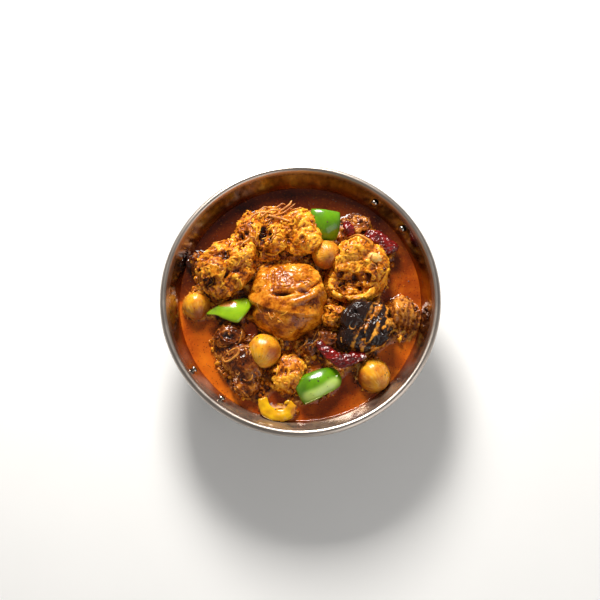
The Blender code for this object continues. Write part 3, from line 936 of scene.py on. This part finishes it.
def make_charred(look):
    """Blackened glossy skin with golden streaks that run down to the left."""
    node, fibre = "chicken_charred", (0.5, 1, 0)
    bulges = (
        ((-7, 8, 9), (15, 10, 8), 40),
        ((8, -4, 8), (14, 12, 8), 50),
        ((-10, -8, 5), (10, 9, 8), 0),
    )
    skin, c = rough_piece(node, 25, bulges, 5)
    skin.hollow(c + mm(2, -2, 16), (3, 14, 9), 2.5, 0.8)
    torn(skin, fibre, 5, 1.2, 0.5, 0.5)
    points = skin.points
    across = (points - c) @ (np.array((1, -0.5, 0)) / math.hypot(1, 0.5))
    bands = noise(np.stack((across / (3.6 * MM), points[:, 1] / (14 * MM), points[:, 2] / (9 * MM)), 1) + 2)
    bands += 0.35 * noise(points / (2.6 * MM))
    streak = smoothstep(-0.2, 0.5, bands) * smoothstep(-12 * MM, 5 * MM, across)
    finish_meat(skin, node, look, "chicken_dark", fibre, 0.5 * streak, 0.75 - 0.75 * streak, 0, 0)


def make_ridged(look):
    """The piece against the right wall, grooved in front and lower there."""
    node = "chicken_ridged"
    c = middle(node)
    shapes = [cad_shape(node), ball(c + mm(-1, 1, 2), mm(11, 15, 12))]
    skin = fused("ridged_piece", shapes, 0.5).relax(6)
    slope = 0.35 + 0.65 * smoothstep(-15 * MM, 6 * MM, skin.points[:, 1] - c[1])
    above = np.maximum(skin.points[:, 2] - SAUCE_LEVEL, 0)
    skin.points[:, 2] -= above * (1 - slope)
    points = skin.points
    top = smoothstep(4 * MM, 12 * MM, points[:, 1] - c[1])
    wave = np.sin((points[:, 0] - c[0]) / (0.62 * MM) + 3 * noise(points / (9 * MM)))
    skin.push(0.55 * MM * wave * (1 - top))
    skin.push(0.8 * MM * fractal(points / (5 * MM), 3))
    finish_meat(skin, node, look, "chicken_torn", (0, 1, 0), 0.5 + 0.3 * top, 0.0, 5, 25)


def make_dark(look):
    """The long dark piece at the front left, lighter along its left edge and at its front end."""
    node, fibre = "chicken_dark", (0.55, -1, 0)
    bulges = (
        ((-9, 19, 4), (13, 10, 8), 20),
        ((3, -2, 5), (11, 17, 8), 34),
        ((4, -20, 0), (12, 8, 7), 10),
    )
    skin, c = rough_piece(node, 26, bulges, 4)
    torn(skin, fibre, 6, 0.9, 0.5, 0.4)
    points = skin.points - c
    edge = smoothstep(-4 * MM, -12 * MM, points[:, 0] + 0.55 * points[:, 1])
    light = np.maximum(edge, smoothstep(-14 * MM, -24 * MM, points[:, 1]))
    pits = [((-56, -33, 3), (7, 3.5, 7), 2.5)]
    finish_meat(skin, node, look, "chicken_dark", fibre, 0.3 * light - 0.05, 0.3 * (1 - light), 30, 20, pits)


def make_small_pieces(torn_look, dark_look):
    """The four small pieces, each with three bulges sized to its node."""
    rows = (
        ("small_centre", torn_look, "chicken_torn", 0.1, (1, 1, 0)),
        ("small_front", torn_look, "chicken_torn", 0.26, (0.3, 1, 0)),
        ("middle", dark_look, "chicken_dark", 0.0, (1, 0.3, 0)),
        ("back_right", dark_look, "chicken_torn", 0.4, (1, -0.5, 0)),
    )
    for seed, (name, look, slot, tone, fibre) in enumerate(rows):
        node = "chicken_" + name
        c, half = middle(node), reach(node)
        shapes = [
            *studded(node, 30 + seed, 8, 3.6),
            ball(c + half * (0.35, 0.2, 0.35), half * 0.6),
            ball(c + half * (-0.35, -0.2, 0.35), half * 0.6),
            ball(c + half * (-0.1, 0.4, 0.3), half * 0.5),
        ]
        skin = fused(name + "_piece", shapes, 0.55).relax(3)
        torn(skin, fibre, 7 + seed, 1.0, 0.5, 0.6)
        finish_meat(skin, node, look, slot, fibre, tone, 0.0, 18, 20)


# ---- vegetables


def make_onions(look):
    """Small peeled onions, with the lines of their layers, masala stuck to one side, and a painted highlight
    on the top.
    """
    rows = (  # lean of the root, side that is stained, how cooked all over
        ((70, 20, 0), (0.3, -0.8, 0.5), 0.38),
        ((60, -30, 0), (0.75, -0.2, 0.6), 0.0),
        ((50, 40, 0), (-0.9, -0.3, 0.2), 0.1),
        ((20, 10, 0), (0.3, -0.8, 0.5), 0.42),
    )
    points, faces = ball((0, 0, 0), (1, 1, 1), sides=96, rings=64)
    polar = np.abs(points[:, 2])
    azimuth = np.arctan2(points[:, 1], points[:, 0])
    for number, (lean, stained, cooked) in enumerate(rows, 1):
        node = f"pearl_onion_{number}"
        radius = reach(node)[:2].mean()
        centre = middle(node)
        centre[2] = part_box(node)[1].z - radius
        lines = 0.5 + 0.5 * np.cos(azimuth * 22 + 2 * noise(points * 2.5 + number))
        shape = points * (1 + 0.035 * noise(points * 1.5 + 3 * number))[:, None]
        shape[:, 2] *= 1 + 0.10 * polar**5
        skin = Skin(to_object(f"onion_{number}", (shape * radius @ turning(lean).T + centre, faces)))
        skin.push(0.12 * MM * (lines - 0.5))
        skin.paint["lines"] = lines * smoothstep(0.2, 0.9, np.abs(noise(points * 2 + 7)) + 0.4 * polar)
        world = (skin.points - centre) / radius
        masala = near(warped(world, 0.7, 0.3), stained, 0.6)
        # Painted highlight: the top of each onion is less stained, so lighter.
        skin.paint["stain"] = masala + cooked * (1 - 0.6 * (world[:, 2] > 0.7))
        finish_piece(skin.done(), look, "onion", node)


def make_garlic(look):
    """The pale clove on the right-hand chicken."""
    node = "garlic_clove"
    c, half = middle(node), reach(node)
    route = within(node, (-0.95, 0.1, -0.2), (-0.3, 0.45, 0.2), (0.4, 0.2, 0.2), (0.9, -0.4, -0.3))
    skin = fused("garlic_piece", [strip(route, half[0] * np.array((0.3, 0.62, 0.66, 0.35)), 0.8)], 0.35)
    skin.relax(4).push(0.2 * MM * fractal(skin.points / (3 * MM), 2))
    skin.points[:, 2] += 1.5 * MM
    skin.paint["lines"] = 0.5 + 0.5 * noise(skin.points / (2 * MM))
    skin.paint["stain"] = near(skin.points, c + half * (-0.8, -0.6, 0), half * 0.7)
    finish_piece(skin.done(), look, "onion", node)


def make_onion_slice(look):
    """The curved slice beside the front right onion."""
    node = "onion_slice"
    route = within(node, (-0.5, 0.9, -0.3), (0.6, 0.35, 0.3), (0.6, -0.35, 0.3), (-0.5, -0.9, -0.3))
    skin = fused("onion_slice_piece", [strip(route, mm(1.6, 2.4, 2.4, 1.6), 0.7)], 0.35).relax(2)
    skin.push(0.25 * MM * fractal(skin.points / (3 * MM), 2))
    finish_piece(skin.done(), look, "onion", node)


def petal(half, bend, thickness, taper=0.0, corner=0.16, point=0.0, slant=0.0, cells=44):
    """A bent petal of pepper with rounded edges, and how far each point is on the flesh side."""
    shares = np.linspace(-1, 1, cells + 1)
    shares = np.sign(shares) * np.abs(shares) ** 0.8
    s, t = np.meshgrid(shares, shares, indexing="ij")
    lengthwise = s * half[0] * (1 - corner * t * t) + point * half[0] * np.maximum(s, 0) ** 3 * (1 - t * t)
    lengthwise = lengthwise + slant * half[0] * t * (1 - s) / 2
    across = t * half[1] * (1 - corner * s * s) * (1 - taper * (s + 1) / 2)
    edge = np.maximum(np.abs(s), np.abs(t))
    layers, flesh = [], []
    for side in (1, -1):
        drop = thickness * (0.5 - 0.5 * side * np.sqrt(np.clip(1 - edge**10, 0, 1)))
        x = (bend[0] - drop) * np.sin(lengthwise / bend[0])
        y = (bend[1] - drop) * np.sin(across / bend[1])
        z = (bend[0] - drop) * (np.cos(lengthwise / bend[0]) - 1)
        z = z + (bend[1] - drop) * (np.cos(across / bend[1]) - 1) - drop
        layers.append(np.stack((x, y, z), -1).reshape(-1, 3))
        flesh.append(smoothstep(0.25, 0.7, drop / thickness).ravel())
    side = cells + 1
    faces = []
    for i in range(cells):
        for j in range(cells):
            a, b, c, d = i * side + j, (i + 1) * side + j, (i + 1) * side + j + 1, i * side + j + 1
            faces.append((a, b, c, d))
            faces.append(tuple(side * side + k for k in (a, d, c, b)))
    return np.vstack(layers), faces, np.concatenate(flesh)


def make_petal(number, look, lean, shape, smear=None, pale=()):
    """Builds a pepper petal in its node's box and welds its two faces along the edge."""
    node = f"green_pepper_{number}"
    points, faces, flesh = petal(**shape)
    points = points @ turning(lean).T
    low, high = points.min(0), points.max(0)
    points = points - (low + high) / 2 + middle(node)
    obj = to_object(f"green_petal_{number}", (points, faces))
    paint(obj, "flesh", flesh)
    weld = obj.modifiers.new("weld", "WELD")
    weld.merge_threshold = 0.02 * MM
    skin = Skin(applied(obj))
    skin.push(0.5 * MM * noise(skin.points / (9 * MM)))
    bare = np.zeros(len(skin.points))
    skin.paint["smear"] = near(skin.points, *smear) if smear else bare
    # Painted highlight: the pale spots, joined into a band.
    skin.paint["pale"] = sum((near(skin.points, mm(*spot), mm(5, 4, 9)) for spot in pale), bare)
    finish_piece(skin.done(), look, "green_pepper", node)


def make_peppers(green, lime, yellow):
    """Three petals cut from green peppers and one curled strip of yellow pepper."""
    shape = dict(half=mm(14.5, 15), bend=mm(22, 18), thickness=3.6 * MM, corner=0.12)
    make_petal(1, green, (24, 4, -6), shape)
    shape = dict(half=mm(17, 14.5), bend=mm(34, 24), thickness=3.4 * MM)
    shape |= dict(taper=0.8, point=0.25, corner=0.18, slant=0.4)
    smear = (middle("green_pepper_2") + mm(-1, 4.5, 3), mm(9, 3.6, 10))
    make_petal(2, lime, (13, 4, 184), shape, smear)
    shape = dict(half=mm(20.5, 15), bend=mm(26, 14), thickness=3.8 * MM, taper=0.25, point=0.2)
    # Painted highlight: spots along the lower right of the third petal.
    pale = ((5, -79, 61), (11, -77, 62), (17, -74, 62), (23, -70, 62), (28, -67, 61))
    make_petal(3, green, (4, 2, 24), shape, pale=pale)
    node = "yellow_pepper"
    c, half = middle(node), reach(node)
    lip = within(node, (0.86, -0.45, 0.55), (0.80, 0.25, 0.55), (0.55, 0.62, 0.55), (0.32, 0.35, 0.55))
    shapes = [cad_shape(node), strip(lip, mm(1.0, 1.5, 1.5, 1.0), 0.8)]
    skin = fused("yellow_strip", shapes, 0.5).relax(5)
    skin.push(0.5 * MM * fractal(skin.points / (6 * MM), 2))
    skin.paint["flesh"] = 0.6 * smoothstep(0.0, -1.0, skin.relief())
    skin.paint["smear"] = near(skin.points, c + half * (0.9, -0.2, 0), mm(5, 6, 6))
    finish_piece(skin.done(), yellow, "yellow_pepper", node)


def make_chillies(look, darker_look):
    """Soaked dried chillies: flattened pods, deeply wrinkled lengthwise."""
    rows = (  # half widths along the pod in millimetres, route in shares of the node's box
        ((3.4, 6.4, 6.6, 3.2), [(-0.9, 0.8), (-0.35, 0.35), (0.3, -0.35), (0.9, -0.6)]),
        ((2.4, 4.0, 2.6), [(-0.5, 0.8), (0, 0), (0.5, -0.8)]),
        ((2.4, 4.2, 4.6, 4.8, 2.2), [(-0.95, 0.85), (-0.5, 0.05), (0, -0.6), (0.45, -0.35), (0.95, -0.2)]),
        ((2.4, 4.0, 2.4), [(-0.7, -0.75), (-0.4, 0.0), (0.5, 0.75)]),
    )
    for number, (widths, route) in enumerate(rows, 1):
        node = f"red_chili_{number}"
        pod = strip(within(node, *((x, y, 0.25) for x, y in route)), mm(*widths), 0.45, 20, 60)
        skin = fused(f"dried_chili_{number}", [cad_shape(node), pod], 0.4).relax(3)
        skin.push(0.9 * MM * ridged(skin.points * 1000 / (5.5, 3.2, 4.0), 2))
        skin.push(0.5 * MM * fractal(skin.points / (3 * MM), 2))
        skin.relax(1)
        # The fourth chilli takes a darker copy of the chilli material.
        finish_piece(skin.done(), darker_look if number == 4 else look, "red_chili", node)


# ---- sauce and small things


def food(vegetables=True):
    """The pieces in the bowl so far, with or without the vegetables."""
    made = [o for o in SOLID_PIECES if o.name != "steel_bowl" and "rivet" not in o.name]
    if vegetables:
        return made
    return [o for o in made if o.name.endswith("_piece") or o.name in ("gravy", "masala_clots")]


def crowding(points, pieces):
    """Share of the neighbourhood of each point that food covers, seen from above."""
    cell, reached = 2 * MM, 3
    size = int(2 * RIM_RADIUS / cell) + 1
    cover = np.zeros((size, size))
    for obj in pieces:
        corners, _ = shape_of(obj)
        corners = corners[corners[:, 2] > SAUCE_LEVEL]
        x, y = ((corners[:, :2] + RIM_RADIUS) / cell).astype(int).T
        cover[x, y] = 1
    steps = range(-reached, reached + 1)
    for axis in (0, 1):
        cover = sum(np.roll(cover, k, axis) for k in steps) / len(steps)
    x, y = np.clip(((points[:, :2] + RIM_RADIUS) / cell).astype(int), 0, size - 1).T
    return cover[x, y]


def heaped(points):
    """Where the masala is heaped between the pieces at the back left, from 0 to 1."""
    return smoothstep(-2 * MM, 10 * MM, points[:, 1]) * smoothstep(14 * MM, 6 * MM, points[:, 0])


def seen_from_above(tree, x, y):
    """The highest spot and its normal at x and y in metres."""
    spot, normal, _, _ = tree.ray_cast(Vector((x, y, 2 * BOWL_HEIGHT)), Vector((0, 0, -1)))
    return spot, normal


def make_sauce(look):
    """The gravy: fills the bowl just into its wall, climbs a little at every piece, thick between them."""
    into_wall = 0.5 * MM
    edge = wall_radius(SAUCE_LEVEL) + into_wall
    radii = np.concatenate((np.linspace(0, 0.2 * edge, 6)[1:], np.linspace(0.2 * edge, edge, 96)[1:]))
    surface = [(0, SAUCE_LEVEL), *((r, SAUCE_LEVEL) for r in radii)]
    wall = [(wall_radius(z, into_wall), z) for z in np.linspace(SAUCE_LEVEL - 2 * MM, WALL_START, 8)]
    base = list(reversed(corner_arc(into_wall, 10)))
    skin = Skin(to_object("gravy", turned([*surface, *wall, *base, (0, WALL - into_wall)], 360)))
    points = skin.points
    top = points[:, 2] > SAUCE_LEVEL - 0.01 * MM
    tree = tree_of(food())
    gap = np.full(len(points), 1.0)
    for i in np.nonzero(top)[0]:
        gap[i] = tree.find_nearest(points[i])[3]
    crowd = crowding(points, food())
    paste = smoothstep(0.4, 0.8, crowd) * top
    radius = np.hypot(points[:, 0], points[:, 1])
    clots = fractal(points / (5 * MM), 3)
    rise = 1.3 * MM * np.exp(-gap / (1.3 * MM)) + 0.9 * MM * np.exp(-(edge - radius) / (1.0 * MM))
    rise += 0.25 * MM * fractal(points / (9 * MM), 2)
    rise += paste * (2.8 * MM + 2.0 * MM * clots)
    rise += 8 * MM * heaped(points) * smoothstep(0.5, 0.9, crowd)
    rise += 0.35 * MM * smoothstep(4 * MM, 0, gap) * fractal(points / (2.2 * MM), 2)
    points[:, 2] += rise * top
    # Painted shade: the oil darkens near the far wall and, less, on the right. Painted light: two brighter
    # pools at the front.
    bearing = np.degrees(np.arctan2(points[:, 1], points[:, 0]))
    behind = smoothstep(2, 32, bearing) * smoothstep(198, 168, np.abs(bearing))
    side = 0.3 * smoothstep(-30, -10, bearing) * smoothstep(50, 30, bearing)
    inwards = edge - radius + 5 * MM * fractal(points / (12 * MM), 2)
    lit = ((62, -36, 48), (24, 14, 9)), ((-66, -50, 48), (14, 30, 9))
    skin.paint["deep"] = np.maximum(behind * smoothstep(34 * MM, 16 * MM, inwards), side)
    skin.paint["sunny"] = sum(near(points, mm(*spot), mm(*size)) for spot, size in lit)
    # The clot height drives the paste colour: painted shade low, painted light high.
    skin.paint["relief"] = clots * top
    # Paste round every piece: partly masala, partly painted shade where the pieces meet the gravy.
    skin.paint["paste"] = np.clip(paste + 0.5 * np.exp(-gap / (2.5 * MM)), 0, 1)
    finish_piece(skin.done(), look, "sauce", "sauce")


def make_masala(look):
    """Clots of onion and spice that fill the gaps between the pieces, heaped on the gravy."""
    rng = np.random.default_rng(5)
    tree = tree_of(food())
    spread = 92
    spots = rng.uniform(-spread, spread, (6000, 2)) * MM
    crowd = crowding(spots, [o for o in food() if o.name != "gravy"])
    limits = SAUCE_LEVEL + 5 * MM + 9 * MM * heaped(spots)
    shapes = []
    for (x, y), share, limit in zip(spots, crowd, limits):
        if math.hypot(x, y) > spread * MM or rng.uniform(0.35, 0.8) > share or len(shapes) > 700:
            continue
        spot, _ = seen_from_above(tree, x, y)
        if spot.z > limit:
            continue
        size = (0.7 + 2.1 * rng.uniform() ** 2) * MM
        shapes.append(crumb(rng, np.array(spot) - (0, 0, 0.2 * size), size))
    clots = to_object("masala_clots", joined(shapes))
    counts = [len(points) for points, _ in shapes]
    for name, least, most in (("relief", -0.7, 0.7), ("tone", -0.1, 0.4), ("char", 0, 0.2)):
        paint(clots, name, np.repeat(rng.uniform(least, most, len(shapes)), counts))
    finish_piece(clots, look, "sauce")


def make_shreds(look):
    """Fried onion shreds lying over the food; a thin ring lies on the dark piece."""
    tree = tree_of(food())
    meat = tree_of(food(vegetables=False))
    rows = (  # spots and half width in millimetres, least height above the table
        ([(-31, 62), (-24, 69), (-16, 70), (-9, 75), (-7, 79)], 1.1, 65),
        ([(-19, 60), (-12, 66), (-13, 71), (-5, 72)], 0.9, 64),
        ([(-36, 66), (-29, 73), (-22, 72), (-15, 77), (-12, 76)], 0.9, 62),
        ([(-28, 58), (-20, 64), (-12, 69), (-4, 76)], 0.8, 66),
        ([(-26, 64), (-18, 62), (-8, 58)], 1.2, 0),
        ([(-7, 68), (3, 70.5), (10, 73)], 0.9, 58),
        ([(-60, -48), (-58, -52), (-52, -50), (-47.5, -46), (-48, -42), (-53, -43), (-58, -47)], 0.9, 0),
        ([(-47, -42), (-43, -40.5), (-39, -41)], 0.8, 0),
        ([(34, 50), (41, 49), (48, 46), (54, 42), (56, 38)], 1.0, 0),
        ([(-40, 60), (-36, 65), (-28, 67), (-22, 66)], 0.9, 0),
        ([(-46, 38), (-40, 44), (-40, 52)], 0.9, 0),
        ([(-24, 40), (-20, 46), (-19, 54)], 0.9, 0),
    )
    rng = np.random.default_rng(8)
    shapes = []
    for spots, width, least in rows:
        flat = along(np.array([(x, y, 0) for x, y in spots]) * MM, np.linspace(0, 1, 9))
        route = np.array([seen_from_above(tree, x, y)[0] for x, y, _ in flat])
        hung = np.interp(range(9), (0, 4, 8), route[(0, 4, 8), 2])
        route[:, 2] = np.maximum.reduce((route[:, 2], hung, np.full(9, least * MM))) + 0.4 * width * MM
        shapes.append(strip(route, mm(0.5, 1, 1, 0.5) * width, 0.8, 8, 40))
    for _ in range(70):
        turn, distance = rng.uniform(0, 2 * math.pi), 88 * MM * math.sqrt(rng.uniform())
        start, _ = seen_from_above(meat, distance * math.cos(turn), distance * math.sin(turn))
        width = rng.uniform(0.35, 0.8) * MM
        route = draped(meat, start, 3 * turn, rng.uniform(5, 13) * MM, rng.normal(0, 0.4), 0.4 * width)
        if np.ptp(route[:, 2]) < 6 * MM and start.z > SAUCE_LEVEL + 1.5 * MM:
            shapes.append(strip(route, width * THREAD, 0.7, 6, 14))
    finish_piece(to_object("onion_shreds", joined(shapes)), look, "onion")


def make_flecks(look):
    """Chilli flakes and ground spice, floating on the oil and stuck to the food."""
    rng = np.random.default_rng(9)
    tree = tree_of(food())
    shapes = []
    for turn, share in rng.uniform(0, 1, (420, 2)):
        distance = 94 * MM * math.sqrt(share)
        x, y = distance * math.cos(2 * math.pi * turn), distance * math.sin(2 * math.pi * turn)
        spot, normal = seen_from_above(tree, x, y)
        size = (0.2 + 0.6 * rng.uniform() ** 3) * MM
        points, faces = crumb(rng, (0, 0, 0), size)
        lean = np.array(normal.to_track_quat("Z", "Y").to_matrix())
        shapes.append((points * (1, 1, 0.35) @ lean.T + spot, faces))
    finish_piece(to_object("chilli_flecks", joined(shapes)), look, "red_chili")


# ---- stage


def make_stage():
    """A plain pale floor, one soft window from behind on the left, and even light from all round."""
    side = 3.0
    corners = np.array([(-1, -1, 0), (1, -1, 0), (1, 1, 0), (-1, 1, 0)])
    floor = to_object("floor", (corners * side, [(0, 1, 2, 3)]))
    floor.data.materials.append(floor_material())
    world = bpy.data.worlds.new("studio")
    bpy.context.scene.world = world
    world.use_nodes = True
    sky = Graph(world.node_tree)
    height = sky.add("SeparateXYZ", {0: sky.add("TexCoord", {}, "Generated")}, 2)
    strength = sky.between(height, 0.1, 0.75, 0.42, 0.17)
    sky.feed(sky.tree.nodes["Background"], {"Strength": strength, "Color": (1.0, 0.98, 0.96, 1)})
    add_light("window", (-0.13, 0.76, 0.60), 0.30, 16.5, (1.0, 0.97, 0.93))
    add_light("fill", (0.9, -0.9, 0.75), 1.4, 9.0, (1.0, 0.99, 0.97))


def add_light(name, place, size, power, colour):
    """A square light turned towards the food."""
    light = bpy.data.lights.new(name, "AREA")
    light.size = size
    light.energy = power
    light.color = colour
    obj = bpy.data.objects.new(name, light)
    obj.location = place
    obj.rotation_euler = (Vector((0, 0, SAUCE_LEVEL)) - obj.location).to_track_quat("-Z", "Y").to_euler()
    bpy.context.scene.collection.objects.link(obj)


def make_camera():
    """Looks down at 75 degrees from in front, with the rim just above the picture's middle."""
    distance, elevation = 0.65, math.radians(75)
    ahead = Vector((0, math.cos(elevation), -math.sin(elevation)))
    above = Vector((0, math.sin(elevation), math.cos(elevation)))
    camera = bpy.data.cameras.new("camera")
    camera.lens = 50
    camera.sensor_width = 36
    obj = bpy.data.objects.new("camera", camera)
    obj.location = Vector((-0.3 * MM, 0, BOWL_HEIGHT)) - distance * ahead - 4.1 * MM * above
    obj.rotation_euler = (math.radians(90) - elevation, 0, 0)
    bpy.context.scene.collection.objects.link(obj)
    bpy.context.scene.camera = obj
    bpy.context.scene.view_settings.view_transform = "Standard"


# ---- make everything

make_camera()
make_stage()

steel = steel_material()
torn_look = meat_material(
    "torn_chicken",
    ((0.038, 0.005, 0.001), (0.26, 0.050, 0.002), (0.60, 0.165, 0.005), (0.95, 0.45, 0.030)),
    0.45, 0.7, (0.0, 0.27, 0.54, 0.92),
)
glazed_look = meat_material(
    "glazed_chicken",
    ((0.04, 0.007, 0.001), (0.27, 0.052, 0.002), (0.60, 0.175, 0.006), (0.86, 0.40, 0.035)),
    0.8, 0.5, (0.0, 0.27, 0.54, 0.95),
)
dark_look = meat_material(
    "dark_chicken",
    ((0.012, 0.003, 0.001), (0.09, 0.016, 0.002), (0.27, 0.060, 0.005), (0.66, 0.25, 0.03)),
    0.8, 0.6,
)
charred_look = meat_material(
    "charred_chicken",
    ((0.014, 0.005, 0.003), (0.14, 0.03, 0.003), (0.52, 0.16, 0.010), (0.84, 0.36, 0.04)),
    1.1, 1.3, (0.0, 0.24, 0.55, 1.0),
)
onion_look = onion_material("pearl_onion", (0.84, 0.38, 0.012), (0.60, 0.19, 0.008))
garlic_look = onion_material("cooked_garlic", (0.90, 0.58, 0.20), (0.78, 0.36, 0.06))
green = pepper_material("green_pepper_skin", (0.13, 0.33, 0.004), (0.075, 0.20, 0.003), (0.46, 0.56, 0.12))
lime = pepper_material("lime_pepper_skin", (0.30, 0.50, 0.008), (0.22, 0.40, 0.006), (0.52, 0.60, 0.12))
yellow = pepper_material("yellow_pepper_skin", (0.82, 0.47, 0.003), (0.70, 0.32, 0.003), (0.86, 0.56, 0.06))
chilli_look = chilli_material("dried_chilli_skin", (0.24, 0.006, 0.004), (0.07, 0.003, 0.002))
darker_chilli_look = chilli_material("darker_chilli_skin", (0.075, 0.016, 0.007), (0.020, 0.006, 0.004))

make_bowl(steel)
make_rivets(steel)
make_thigh(glazed_look)
make_left(torn_look)
make_back_left(torn_look)
make_back(torn_look)
make_right(torn_look)
make_charred(charred_look)
make_ridged(dark_look)
make_dark(dark_look)
make_small_pieces(torn_look, dark_look)
make_onions(onion_look)
make_garlic(garlic_look)
make_peppers(green, lime, yellow)
make_chillies(chilli_look, darker_chilli_look)
make_onion_slice(garlic_look)
make_sauce(sauce_material())
make_masala(torn_look)
make_shreds(strand_material())
make_flecks(fleck_material())
